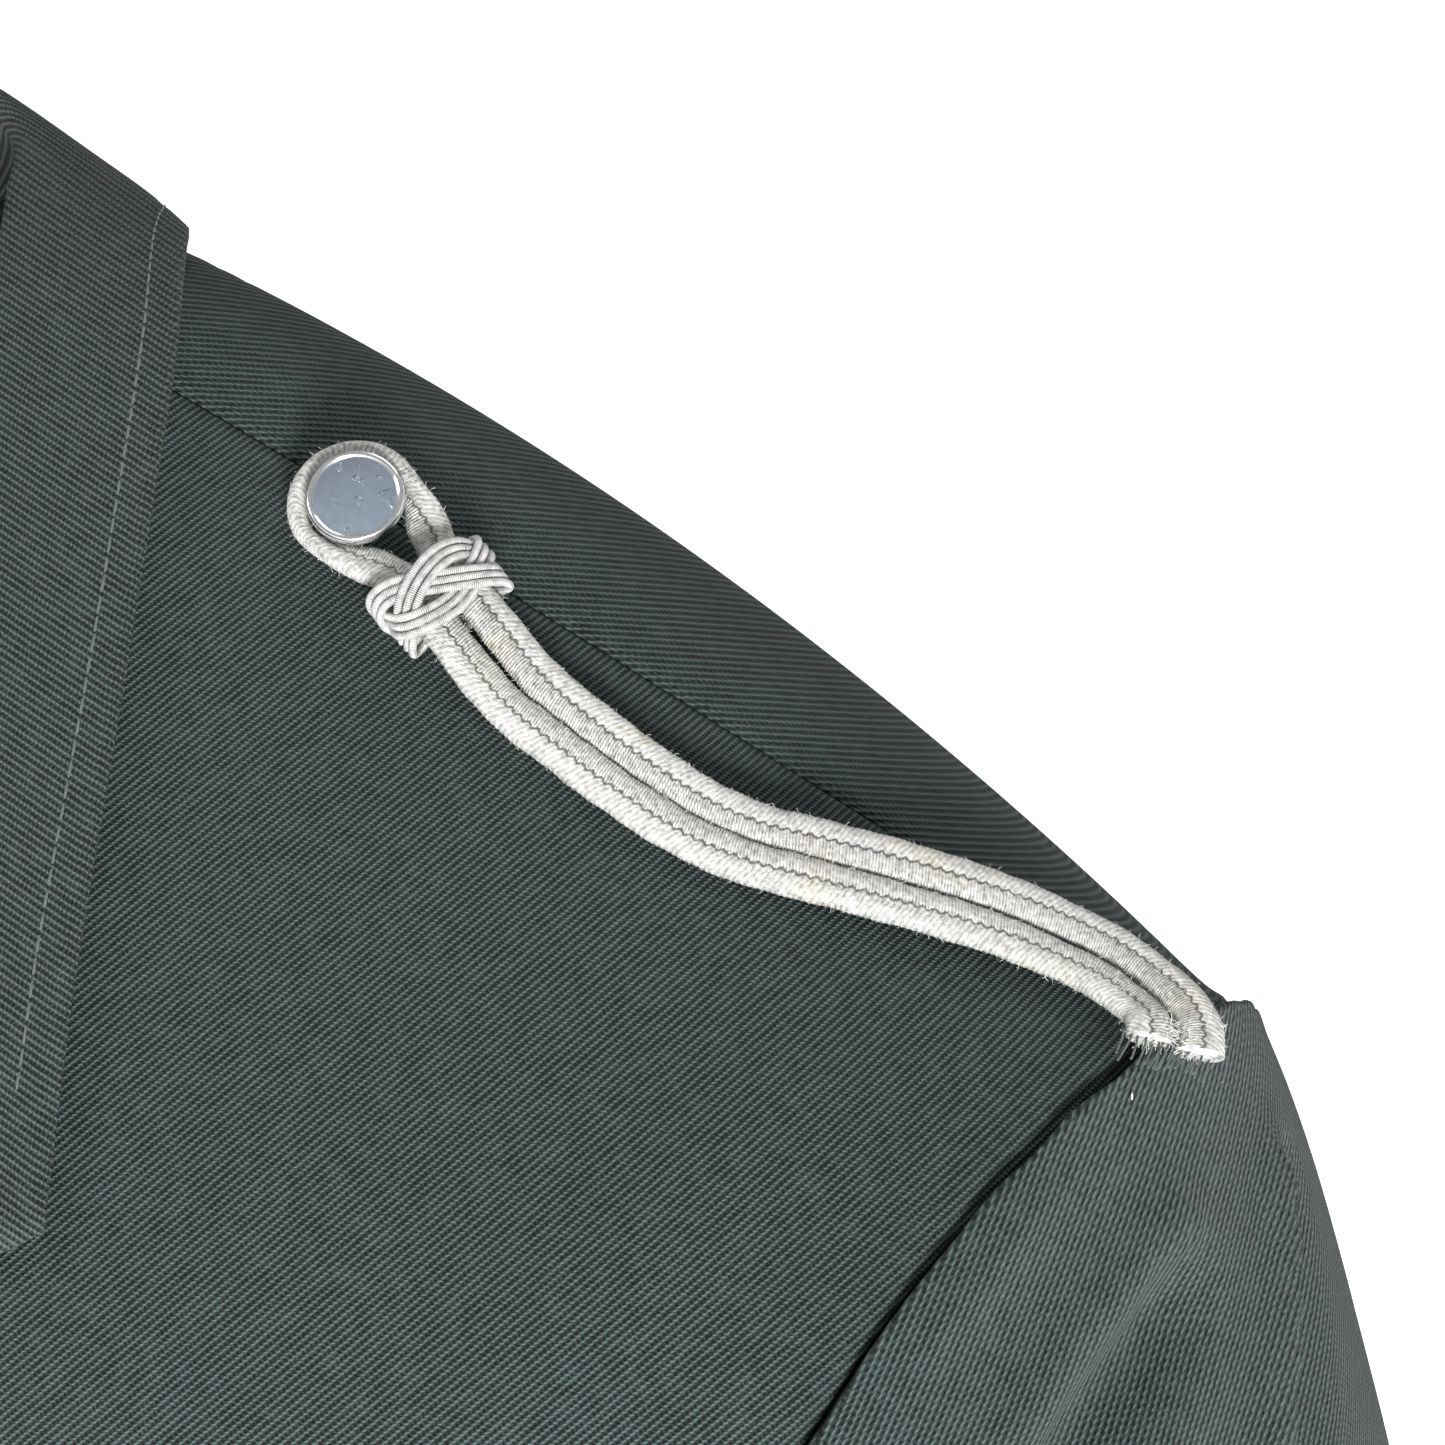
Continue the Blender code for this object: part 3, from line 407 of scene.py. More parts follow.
FRONT_CREASES = [
    # path of points, reach, height
    ([(205, -20, -47), (190, -52, -60), (176, -84, -84), (168, -108, -120)], 9, 0.7),
    ([(216, -36, -58), (204, -58, -68), (192, -84, -90), (184, -104, -124)], 5, -0.6),
    ([(196, -92, -150), (160, -128, -170), (110, -140, -190)], 8, 0.8),
    ([(190, -96, -172), (150, -132, -196), (96, -144, -214)], 7, -0.7),
    ([(196, -30, -440), (150, -96, -432), (96, -118, -440)], 8, 0.9),
    ([(194, -34, -458), (152, -96, -452), (104, -116, -462)], 6, -0.9),
    ([(190, -60, -500), (170, -90, -560), (160, -104, -640)], 11, 1.0),
]
BACK_CREASES = [
    ([(196, 84, -140), (150, 124, -170), (96, 140, -190)], 9, 0.9),
    ([(192, 88, -166), (146, 126, -194), (90, 140, -212)], 7, -0.8),
    ([(190, 30, -430), (140, 90, -424), (60, 108, -430)], 8, 1.1),
    ([(190, 34, -450), (130, 92, -446), (52, 108, -452)], 6, -1.0),
    ([(188, 40, -474), (150, 84, -480), (80, 108, -490)], 8, 0.8),
    ([(30, 132, -560), (44, 134, -650), (40, 138, -750)], 12, 1.0),
]
SLEEVE_CREASES = [
    ([(245, 21, -70), (250, 15, -79), (254, 8, -88), (257, -1, -97), (260, -10, -108), (263, -18, -126)], 5.0, 2.0),
    ([(249, 28, -75), (254, 22, -85), (259, 14, -95), (263, 5, -106), (267, -4, -120)], 8.0, -2.3),
    ([(246, -6, -69), (245, -23, -76), (242, -36, -81), (239, -50, -88), (236, -60, -100)], 6.0, 1.6),
    ([(250, -9, -78), (248, -24, -83), (245, -37, -88), (243, -47, -95), (240, -58, -108)], 8.5, -2.9),
    ([(234, -30, -60), (231, -43, -66), (228, -53, -71), (226, -62, -78)], 3.6, 0.5),
    ([(262, -30, -120), (258, -48, -140), (250, -62, -170)], 8.0, 1.2),
    ([(296, 30, -180), (306, 4, -210), (304, -26, -236)], 9.0, 1.1),
    ([(298, 36, -205), (308, 8, -236), (306, -22, -262)], 7.0, -1.2),
    ([(230, -40, -400), (252, -58, -420), (284, -56, -436)], 8.0, 1.5),
    ([(226, -36, -424), (250, -60, -444), (286, -56, -462)], 6.0, -1.6),
    ([(228, -34, -450), (252, -58, -470), (290, -54, -484)], 8.0, 1.3),
    ([(300, 30, -470), (316, 10, -500), (318, -20, -540)], 9.0, 1.0),
    ([(262, 34, -600), (290, 14, -630), (314, -20, -640)], 8.0, 0.9),
]


def fold_height(table, u, v, u_size=1.0):
    """Soft ridges and troughs along short lines on a piece."""
    total = np.zeros(np.broadcast(u, v).shape)
    for from_u, from_v, to_u, to_v, reach, height in table:
        start = np.array([from_u * u_size, from_v])
        way = np.array([to_u * u_size, to_v]) - start
        point = np.stack(np.broadcast_arrays(u * u_size, v), axis=-1) - start
        t = np.clip((point @ way) / (way @ way), 0, 1)
        far = np.linalg.norm(point - t[..., None] * way, axis=-1)
        total += height * np.exp(-((far / reach) ** 2)) * np.sin(math.pi * (0.08 + 0.84 * t))
    return total


def crease_height(points, table, scale=1.0, shift=(0, 0, 0)):
    """Creases that run along lines in space, fading at both ends."""
    total = np.zeros(points.shape[:-1])
    for path, reach, height in table:
        path = np.array(path, float) + np.array(shift)
        steps = np.linalg.norm(np.diff(path, axis=0), axis=1)
        length = np.concatenate([[0], np.cumsum(steps)])
        nearest = np.full(points.shape[:-1], 1e9)
        along = np.zeros(points.shape[:-1])
        for k in range(len(path) - 1):
            way = path[k + 1] - path[k]
            t = np.clip(((points - path[k]) @ way) / (way @ way), 0, 1)
            far = np.linalg.norm(points - path[k] - t[..., None] * way, axis=-1)
            closer = far < nearest
            nearest = np.where(closer, far, nearest)
            along = np.where(closer, (length[k] + t * steps[k]) / length[-1], along)
        fade = smooth(along / 0.22) * smooth((1 - along) / 0.3)
        total += scale * height * np.exp(-((nearest / reach) ** 2)) * fade
    return total


# %% [markdown]
# Cut pieces with a weave
#
# A cut piece is a grid of points. Its threads run straight in the flat cloth, and bend with
# the piece when it is worn. Two numbers are solved for at every point so that their slopes
# over the surface are as close as they can be to what the flat cloth has: the rib count
# across the ribs and the dot count along them. They become the piece's UV map.


# %% Solve the weave and build a walled piece
def slopes_to_field(points, slope):
    """The numbers on a grid whose change along each edge is closest to slope times the edge."""
    ways = [np.diff(points, axis=k) for k in (0, 1)]
    middles = [(slope[1:] + slope[:-1]) / 2, (slope[:, 1:] + slope[:, :-1]) / 2]
    wanted = [(m * w).sum(axis=-1) for m, w in zip(middles, ways)]
    sizes = [np.maximum(np.linalg.norm(w, axis=-1), 0.05) for w in ways]
    cell_down = np.interp(np.arange(points.shape[0]), np.arange(points.shape[0] - 1) + 0.5, sizes[0].mean(axis=1))
    cell_across = np.interp(np.arange(points.shape[1]), np.arange(points.shape[1] - 1) + 0.5, sizes[1].mean(axis=0))
    weights = [cell_across[None] / sizes[0], cell_down[:, None] / sizes[1]]

    def gather(down, across):
        out = np.zeros(points.shape[:2])
        out[1:] += down
        out[:-1] -= down
        out[:, 1:] += across
        out[:, :-1] -= across
        return out

    def apply(field):
        return gather(weights[0] * np.diff(field, axis=0), weights[1] * np.diff(field, axis=1))

    diagonal = np.zeros(points.shape[:2])
    diagonal[1:] += weights[0]
    diagonal[:-1] += weights[0]
    diagonal[:, 1:] += weights[1]
    diagonal[:, :-1] += weights[1]
    middle = points.shape[1] // 2
    field = np.zeros(points.shape[:2])
    field[1:, middle] = np.cumsum(wanted[0][:, middle])
    for j in range(middle, points.shape[1] - 1):
        field[:, j + 1] = field[:, j] + wanted[1][:, j]
    for j in range(middle, 0, -1):
        field[:, j - 1] = field[:, j] - wanted[1][:, j - 1]
    rest = gather(weights[0] * wanted[0], weights[1] * wanted[1]) - apply(field)
    step = rest / diagonal
    way = step.copy()
    size = (rest * step).sum()
    for _ in range(500):
        moved = apply(way)
        share = size / max((way * moved).sum(), 1e-30)
        field += share * way
        rest -= share * moved
        step = rest / diagonal
        new = (rest * step).sum()
        if new < 1e-9:
            break
        way = step + way * (new / size)
        size = new
    return field


DOT_PITCH = 0.66
PLANE_PITCH = 0.92
TWILL_ANGLE = math.radians(62)


def weave(points, normal, grain_up, pitch, angle=TWILL_ANGLE, planes=None, share=0.0):
    """Rib and dot counts. Where share is 1 the ribs lie in planes square to the given line."""
    up = unit(grain_up - (grain_up * normal).sum(axis=-1, keepdims=True) * normal)
    right = np.cross(up, normal)
    ribs = right * math.cos(angle) + up * math.sin(angle)
    pitch = np.broadcast_to(pitch, points.shape[:2])[..., None]
    steep = np.cross(normal, ribs) / pitch
    if planes is not None:
        share = share[..., None]
        line = np.array(planes)
        flat = line - (normal @ line)[..., None] * normal
        flat = flat * np.sign((flat * steep * share).sum()) / PLANE_PITCH
        ribs = unit(ribs * (1 - share) + np.cross(unit(flat), normal) * share)
        steep = steep * (1 - share) + flat * share
    across = slopes_to_field(points, steep)
    along = slopes_to_field(points, ribs / DOT_PITCH)
    return np.stack([across, along], axis=-1)


def grid_normals(grid):
    return unit(np.cross(np.gradient(grid, axis=0), np.gradient(grid, axis=1)))


def quads(index):
    return np.stack([index[:-1, :-1], index[:-1, 1:], index[1:, 1:], index[1:, :-1]], axis=-1).reshape(-1, 4)


def new_mesh(name, points, faces, uv, material, corners=None):
    """A smooth shaded mesh object from points in millimetres, its faces out."""
    a, b, c, d = (points[faces[:, k]] for k in range(4))
    volume = (a * (np.cross(b, c) + np.cross(c, d))).sum()
    if volume < 0:
        faces = faces[:, ::-1]
        corners = None if corners is None else corners[:, ::-1]
    mesh = bpy.data.meshes.new(name)
    mesh.from_pydata((points * MM).tolist(), [], faces.tolist())
    layer = mesh.uv_layers.new(name="weave")
    read = uv[faces.ravel()] if corners is None else corners.reshape(-1, 2)
    layer.data.foreach_set("uv", read.astype(np.float32).ravel())
    mesh.polygons.foreach_set("use_smooth", np.ones(len(faces), bool))
    mesh.materials.append(material)
    mesh.update()
    piece = bpy.data.objects.new(name, mesh)
    bpy.context.scene.collection.objects.link(piece)
    return piece


def walled(name, outer, inner, uv, material):
    """A closed wall between two grids."""
    size = outer.shape[0] * outer.shape[1]
    o = np.arange(size).reshape(outer.shape[:2])
    n = o + size
    faces = [quads(o), quads(n)[:, ::-1]]
    faces += [quads(np.stack([n[:, 0], o[:, 0]], 1)), quads(np.stack([o[:, -1], n[:, -1]], 1))]
    faces += [quads(np.stack([n[0], o[0]], 0)), quads(np.stack([o[-1], n[-1]], 0))]
    points = np.concatenate([outer.reshape(-1, 3), inner.reshape(-1, 3)])
    flat = uv.reshape(-1, 2)
    return new_mesh(name, points, np.concatenate(faces), np.concatenate([flat, flat]), material)


sheets = {}


def cut_piece(name, node, outer, inner, uv, material, slot, held, rests_on=()):
    """A finished piece of cloth, with the flat size it was cut to noted and printed."""
    piece = walled(name, outer, inner, uv, material)
    down, over = np.diff(outer, axis=0), np.diff(outer, axis=1)
    length = np.linalg.norm(down, axis=-1).sum(axis=0).max() * MM
    width = np.linalg.norm(over, axis=-1).sum(axis=1).max() * MM
    area = np.linalg.norm(np.cross(down[:, :-1], over[:-1]), axis=-1).sum() * MM * MM
    area = min(max(area, 0.31 * width * length), width * length)
    sheets[name] = (piece, node, slot, (width, length), area, held, rests_on)
    print(name, "flat", round(width, 3), "x", round(length, 3), "m,", len(piece.data.polygons), "faces")
    return piece


def distance_in(points, axis, from_end):
    """How far each point of a grid lies from one of its edges, along the surface."""
    steps = np.linalg.norm(np.diff(points, axis=axis), axis=-1)
    start = np.zeros_like(np.take(steps, [0], axis=axis))
    run = np.concatenate([start, np.cumsum(steps, axis=axis)], axis=axis)
    return np.take(run, [-1], axis=axis) - run if from_end else run


def seam_roll(distance, depth, width):
    """The way a sewn edge dips into its seam."""
    return -depth * (1 - smooth(distance / width)) ** 1.5


def mirrored(grid):
    return grid * np.array([-1.0, 1.0, 1.0])


# %% [markdown]
# Front and back panels
#
# Each front panel runs from the hem to the shoulder seam, and its outer edge is the side seam
# and then the armhole. The grid has close rows near the shoulder, where the picture looks.
# Edges that are sewn dip into their seams, and the armhole has a small roll beside it, because
# its turnings lie under the front panel.

# %% Edges of the panels
ARMHOLE = [
    # along, share of the way from the middle to the side
    (495, 1.0), (496, 0.955), (503, 0.89), (522, 0.805), (557, 0.725), (600, 0.688), (645, 0.683),
    (685, 0.696), (720, 0.712), (750, 0.738), (775, 0.768), (795, 0.786), (825, 0.784), (865, 0.762),
    (915, 0.73), (970, 0.718), (1020, 0.745), (1063, 0.81), (1092, 0.885), (1107, 0.955), (1110, 1.0),
]  # fmt: skip
FRONT_EDGE = [
    # along, distance from the middle
    (0, -20), (425, -20), (480, -5), (560, 16), (640, 37), (700, 52.5), (735, 60.5), (755, 63), (775, 64.5), (795, 65),
]  # fmt: skip
BACK_NECK = [(0.0, 846), (0.04, 845), (0.08, 839), (0.115, 829), (0.142, 815), (0.167, 795)]
OVERLAP_LIFT = [(0, 2.6), (300, 2.6), (425, 6.6), (500, 6.6), (580, 3.0), (640, 0.0), (795, 0.0)]
OVERLAP_FULL, OVERLAP_NONE = 18.0, 66.0


def armhole_line(count):
    """The armhole as evenly spaced places, from the underarm round the front."""
    knots = np.arange(len(ARMHOLE), dtype=float)
    line = cubic(knots, np.array(ARMHOLE, float), np.linspace(0, knots[-1], count))
    line[:, 1] = np.minimum(line[:, 1], 1.0)
    points = torso(line[:, 1], line[:, 0])
    length = np.concatenate([[0], np.cumsum(np.linalg.norm(np.diff(points, axis=0), axis=1))])
    even = np.linspace(0, length[-1], count)
    return np.stack([np.interp(even, length, line[:, k]) for k in range(2)], axis=-1)


ARM_LINE = armhole_line(1200)


def armhole_share(q):
    share = np.interp(q, ARM_LINE[:, 0], ARM_LINE[:, 1])
    return np.where((q <= CHEST_FRONT) | (q >= CHEST_BACK), 1.0, share)


def lift_left(x, q):
    """How far the left front is moved out so that it closes over the right one."""
    lift = columns(OVERLAP_LIFT)
    return np.interp(q, lift[0], lift[1]) * smooth((OVERLAP_NONE - x) / (OVERLAP_NONE - OVERLAP_FULL))


EDGE_STEPS = np.array([0.0, 0.0018, 0.004, 0.007, 0.011, 0.016])
PANEL_ACROSS = np.concatenate([EDGE_STEPS, np.linspace(0.03, 0.97, 62), 1 - EDGE_STEPS[::-1]])


def puckers(distance, along):
    """The small roll beside a set-in seam, gathered unevenly along it."""
    swell = 0.34 + 0.14 * np.sin(along / 5.3) + 0.1 * np.sin(along / 2.9 + 1.3) + 0.08 * np.sin(along / 11.0)
    return swell * np.exp(-(((distance - 3.2) / 1.9) ** 2))


def grain(p, q, left):
    """The way of the lengthwise threads, from the front hem to the back hem."""
    inside = np.clip(q, 1.0, HEM_BACK - 1.0)
    way = torso(p, inside + 1.0) - torso(p, inside - 1.0)
    return way if left else mirrored(way)


FRONT_PLANES = (-0.749, 0.005, 0.663)
BACK_PLANES = (-0.124, 0.407, 0.905)


def front_panel(left):
    near = [CREST - SEAM_GAP / 2 - v for v in (3.0, 2.2, 1.5, 0.9, 0.4, 0.0)]
    q = np.concatenate([np.arange(0, 490, 7.0), np.arange(490, 530, 1.6), np.arange(530, 640, 4.0)])
    q = np.concatenate([q, np.arange(640, 791, 2.0), near])
    edge = columns(FRONT_EDGE)
    inner = share_at(np.interp(q, edge[0], edge[1]), q)
    p = inner[:, None] + (armhole_share(q) - inner)[:, None] * PANEL_ACROSS
    q = np.repeat(q[:, None], p.shape[1], axis=1)
    base = torso(p, q)
    normal = torso_normal(p, q)
    height = fold_height(FRONT_FOLDS, base[..., 0], q)
    height += crease_height(base, FRONT_CREASES, 1.0 if left else 0.8, (0, 0, 0) if left else (3, 2, -9))
    if left:
        height += lift_left(base[..., 0], q)
    side = distance_in(base, 1, True)
    top = distance_in(base, 0, True)
    arm = smooth((q - CHEST_FRONT) / 40)
    height += seam_roll(side, 0.95, 2.6) + seam_roll(top, 0.5, 1.8) + puckers(side, q) * arm
    outer = base + normal * height[..., None]
    outer = outer if left else mirrored(outer)
    normal = grid_normals(outer) * (-1 if left else 1)
    up = grain(p, q, left)
    shown = smooth((q - 520) / 140) if left else 0 * q
    uv = weave(outer, normal, up, 0.98, TWILL_ANGLE, FRONT_PLANES, shown)
    return outer, outer - normal * CLOTH, uv


for hand, left in (("left", True), ("right", False)):
    outer, inner, uv = front_panel(left)
    cut_piece("front_panel_" + hand, "front_" + hand, outer, inner, uv, cloth_finish, "whipcord", "draped")


# %% Back panels
def back_panel(left):
    near = [CREST + v for v in (0.0, 0.4, 0.9, 1.5, 2.2, 3.0)]
    base_q = np.concatenate([near, np.arange(800, 960, 2.2), np.arange(962, 1070, 4.0)])
    base_q = np.concatenate([base_q, np.arange(1070, 1112, 1.8), np.arange(1112, 1600, 7.0), [HEM_BACK]])
    p = armhole_share(base_q)[:, None] * PANEL_ACROSS
    neck = columns(BACK_NECK)
    top = np.interp(p, neck[0], neck[1])
    fade = 1 - smooth((base_q - CREST) / 190.0)
    q = base_q[:, None] + (top - CREST) * fade[:, None]
    q[0] += SEAM_GAP / 2
    base = torso(p, q)
    height = fold_height(BACK_FOLDS, base[..., 0], q)
    height += crease_height(base, BACK_CREASES, 1.0 if left else 0.85, (0, 0, 0) if left else (-4, 0, 7))
    side = distance_in(base, 1, True)
    height += seam_roll(side, 0.95, 2.6) + seam_roll(distance_in(base, 0, False), 0.5, 1.8)
    height += seam_roll(distance_in(base, 1, False), 0.6, 2.0)
    height += puckers(side, q) * smooth((CHEST_BACK - q) / 40)
    outer = base + torso_normal(p, q) * height[..., None]
    outer[:, 0, 0] = np.maximum(outer[:, 0, 0], SEAM_GAP / 2)
    outer = outer if left else mirrored(outer)
    normal = grid_normals(outer) * (-1 if left else 1)
    near = 1 - smooth((q - 840) / 140)
    shown = near if left else 0 * q
    uv = weave(outer, normal, -grain(p, q, left), 1.0, TWILL_ANGLE, BACK_PLANES, shown)
    return outer, outer - normal * CLOTH, uv


for hand, left in (("left", True), ("right", False)):
    outer, inner, uv = back_panel(left)
    cut_piece("back_panel_" + hand, "back_" + hand, outer, inner, uv, cloth_finish, "whipcord", "draped")

# %% [markdown]
# Sleeves
#
# A sleeve has an upper and an under piece. Its head is cut longer than the armhole and eased
# in, so it stands a little proud of the seam before it falls. Each line from the armhole to
# the upper arm is a curve with a handle at each end, and the rest of the arm is level rings.

# %% Rings of the arm
SLEEVE = [
    # down, centre_x, centre_y, half_x, half_y
    (-292, 257, -8, 50, 68),
    (-370, 264, -4, 49, 64),
    (-450, 271, -4, 47, 60),
    (-530, 279, -16, 45, 56),
    (-610, 283, -32, 42, 52),
    (-690, 286, -48, 40, 49),
]
CUFF_TILT = 10.0
ROPING_OUT, ROPING_UP = 1.8, 1.3
HEAD_TURN = [
    # around, outward, away from the armhole's middle, down, reach_out, reach_down
    (0.0, 0.34, 0.0, 0.94, 34, 92),
    (0.14, 0.5, 0.2, 0.83, 38, 86),
    (0.27, 0.62, 0.4, 0.66, 30, 70),
    (0.40, 0.95, 0.3, 0.35, 16, 26),
    (0.5, 1.0, 0.1, 0.2, 10, 12),
    (0.60, 0.95, 0.3, 0.35, 16, 26),
    (0.73, 0.62, 0.4, 0.66, 30, 70),
    (0.86, 0.5, 0.2, 0.83, 38, 86),
    (1.0, 0.34, 0.0, 0.94, 34, 92),
]


def loop_at(u):
    """The armhole's point for the way round u, 0 on top of the shoulder."""
    last = len(ARM_LINE) - 1
    top = int(np.abs(ARM_LINE[:, 0] - CREST).argmin())
    index = (top / last - np.asarray(u, float)) % 1.0 * last
    read = [np.interp(index, np.arange(last + 1), ARM_LINE[:, k]) for k in range(2)]
    return torso(read[1], read[0])


ARM_MIDDLE = loop_at(np.linspace(0, 1, 60, endpoint=False)).mean(axis=0)


def arm_ring(down, u):
    values = cubic(-columns(SLEEVE)[0], columns(SLEEVE, 1).T, np.array([-down]))[0]
    angle = 2 * math.pi * u
    x = values[0] + values[2] * np.cos(angle)
    y = values[1] - values[3] * np.sin(angle)
    return np.stack([x, y, np.full(x.shape, float(down))], axis=-1)


HEAD_STEPS = np.linspace(0, 1, 84) ** 1.25
ARM_STEPS = np.linspace(0, 1, 68)[1:]


def sleeve_surface(u):
    """The bare sleeve as rows from the armhole to the cuff."""
    around = u % 1.0
    start = loop_at(around)
    radial = start - ARM_MIDDLE
    radial[:, 0] = 0
    radial = unit(radial)
    outward = np.array([1.0, 0, 0])
    start = start + outward * (SEAM_GAP + 0.3 + 0.6 * smooth(1 - np.abs(around - 0.5) / 0.12)[:, None])
    roped = start + outward * ROPING_OUT + radial * ROPING_UP
    table = cubic(columns(HEAD_TURN)[0], columns(HEAD_TURN, 1).T, around)
    way = unit(outward * table[:, 0:1] + radial * table[:, 1:2] - np.array([0, 0, 1.0]) * table[:, 2:3])
    top = SLEEVE[0][0]
    end = arm_ring(top, around)
    handle = roped + way * table[:, 3:4]
    lower = end + unit(end - arm_ring(top - 10, around)) * table[:, 4:5]
    rows = [start - outward * 1.5 - radial * 2.4, start - outward * 0.3 - radial * 1.2]
    rows += [start * (1 - t) + roped * t + radial * 0.9 * math.sin(math.pi * t) for t in (0.15, 0.35, 0.6, 0.8)]
    for t in HEAD_STEPS:
        rows.append((1 - t) ** 3 * roped + 3 * (1 - t) ** 2 * t * handle + 3 * (1 - t) * t * t * lower + t**3 * end)
    for t in ARM_STEPS:
        ring = arm_ring(top + (SLEEVE[-1][0] - top) * t, around)
        ring[:, 2] += CUFF_TILT * smooth((t - 0.6) / 0.4) * np.sin(2 * math.pi * around)
        rows.append(ring)
    return np.array(rows)


def round_at(along):
    """The way round at which the armhole passes along."""
    top = np.abs(ARM_LINE[:, 0] - CREST).argmin()
    place = np.interp(along, ARM_LINE[:, 0], np.arange(len(ARM_LINE)))
    return (top - place) / (len(ARM_LINE) - 1)


CAP_PLANES = (-0.892, -0.187, 0.412)


def sleeve_piece(u, left):
    grid = sleeve_surface(u)
    normal = -grid_normals(grid)
    down = np.concatenate([[0], np.cumsum(np.linalg.norm(np.diff(grid[:, len(u) // 2], axis=0), axis=1))])
    height = fold_height(SLEEVE_FOLDS, (u % 1.0)[None, :], down[:, None], 400.0)
    height *= smooth(down / 30.0)[:, None]
    fine = crease_height(grid, SLEEVE_CREASES, 2.3 if left else 1.8, (0, 0, 0) if left else (0, 4, -6))
    height += fine * smooth(down / 6.0)[:, None]
    height += seam_roll(distance_in(grid, 1, True), 0.7, 2.2) + seam_roll(distance_in(grid, 1, False), 0.7, 2.2)
    ease = 0.22 * np.sin(u * 700.0 * 0.9) + 0.16 * np.sin(u * 700.0 * 0.37 + 1.0)
    height += ease[None, :] * np.exp(-(((down - 5.0) / 4.0) ** 2))[:, None]
    outer = grid + normal * height[..., None]
    outer = outer if left else mirrored(outer)
    normal = grid_normals(outer) * (-1 if left else 1)
    cap = smooth((outer[..., 2] + 300) / 180)
    up = -np.gradient(outer, axis=0)
    uv = weave(outer, normal, up, 1.0 + 0.1 * cap, TWILL_ANGLE, CAP_PLANES, cap if left else 0 * cap)
    return outer, outer - normal * CLOTH, uv


SEAM_BACK, SEAM_FRONT = round_at(1032.0), round_at(540.0)
for hand, left in (("left", True), ("right", False)):
    for part, low, high, count in (("top", SEAM_BACK, SEAM_FRONT, 92), ("under", SEAM_FRONT, SEAM_BACK + 1, 50)):
        outer, inner, uv = sleeve_piece(np.linspace(low, high, count), left)
        name = "sleeve_%s_%s" % (part, hand)
        cut_piece(name + "_cloth", name, outer, inner, uv, cloth_finish, "whipcord", "draped")

# %% [markdown]
# Collar and lapels
#
# The collar is one band that stands up from the neck seam, rolls over and falls back on the
# shoulders. Each line across it goes through five points: the neck, the stand, the roll, the
# middle of the fall and its outer edge. The lapels are the front edge turned over.

# %% Collar
COLLAR_WALL, LAPEL_WALL = 2.4, 2.2
COLLAR = [
    # neck_x, neck_along, roll_out, roll_up, edge_x, edge_along, puff
    (0, 847, -6, 22, 0, 871, 2.4),
    (19, 845, -7, 20, 26, 867, 2.4),
    (40, 834, -9, 13.5, 49, 847, 2.0),
    (55, 816, -11, 8.2, 65.5, 821, 1.5),
    (64.5, 797, -11, 6.8, 79.5, 798, 1.3),
    (64.5, 776, -8, 6.2, 91.5, 774, 1.5),
    (62.5, 756, -3, 5.8, 100.6, 753, 1.8),
    (60, 738, 2, 5.0, 107.2, 734.5, 1.5),
    (57.5, 722, 4, 4.2, 112.8, 717.5, 1.0),
]
COLLAR_END = [(55, 712), (66, 702), (80, 691), (92, 684), (104, 691.5), (113, 697), (117.3, 701.5)]
COLLAR_ACROSS = [0.0, 0.5, 1.0, 1.4, 1.7, 2.0, 2.3, 2.65, 3.1, 3.55, 4.0]
COLLAR_STEPS = 15


def collar_line(row):
    """Five points across the collar at one place along the neck."""
    neck_x, neck_q, roll_out, roll_up, edge_x, edge_q, puff = row
    neck_x = max(neck_x, 0.0)
    neck = on_base(neck_x, neck_q, -0.8)
    outward = unit(np.array([neck[0], neck[1] * 1.25, 0.0]))
    if neck_q < CREST:
        outward = unit(np.array([1.0, 0.0, 0.0]) + outward * 0.3)
    normal = torso_normal(share_at(neck_x, neck_q), neck_q)
    inset = COLLAR_WALL / 2 + SEAM_GAP + 0.6 + CLOTH * max(normal @ outward, 0.0)
    start = neck - outward * inset
    flat = smooth(1 - roll_up / 27.0)
    up = unit(np.array([0, 0, 1.0]) * (1 - flat) + normal * flat)
    stand_off = 0.7 + 1.0 * smooth((782 - neck_q) / 30)
    edge = on_base(max(edge_x, 0.0), edge_q, COLLAR_WALL / 2 + stand_off)
    roll_point = start + outward * roll_out + up * roll_up
    stand = start + up * (0.4 * roll_up + 1.1 * flat) + outward * min(0.4 * roll_out, -0.2)
    away = unit(np.cross(edge - roll_point, np.cross(outward, np.array([0, 0, 1.0]))))
    if away @ (outward + np.array([0, 0, 1.0])) < 0:
        away = -away
    fall = roll_point * 0.45 + edge * 0.55 + away * puff
    return np.array([start, stand, roll_point, fall, edge])


def finer(grid, down, over):
    """A grid read again with smooth lines through its points."""
    rows = cubic(np.arange(len(grid)), grid, np.linspace(0, len(grid) - 1, down))
    turned = rows.transpose(1, 0, 2)
    return cubic(np.arange(len(turned)), turned, np.linspace(0, len(turned) - 1, over)).transpose(1, 0, 2)


def half_collar():
    rows = cubic(np.arange(len(COLLAR)), np.array(COLLAR, float), np.linspace(0, len(COLLAR) - 1, COLLAR_STEPS))
    lines = [cubic(np.arange(5), collar_line(row), COLLAR_ACROSS) for row in rows]
    end = np.array(COLLAR_END, float)
    knots = np.linspace(0, len(end) - 1, len(COLLAR_ACROSS) - 1)
    end = np.stack([np.interp(knots, np.arange(len(end)), end[:, k]) for k in range(2)], axis=-1)
    end = np.concatenate([[end[0] - np.array([1.9, 0.6])], end])
    height = np.full(len(end), COLLAR_WALL / 2 + 1.5)
    height[0] = 0.0
    height[1] += 0.6
    height[2:6] += 0.9
    lines.append(on_base(end[:, 0], end[:, 1], height))
    return np.array(lines)


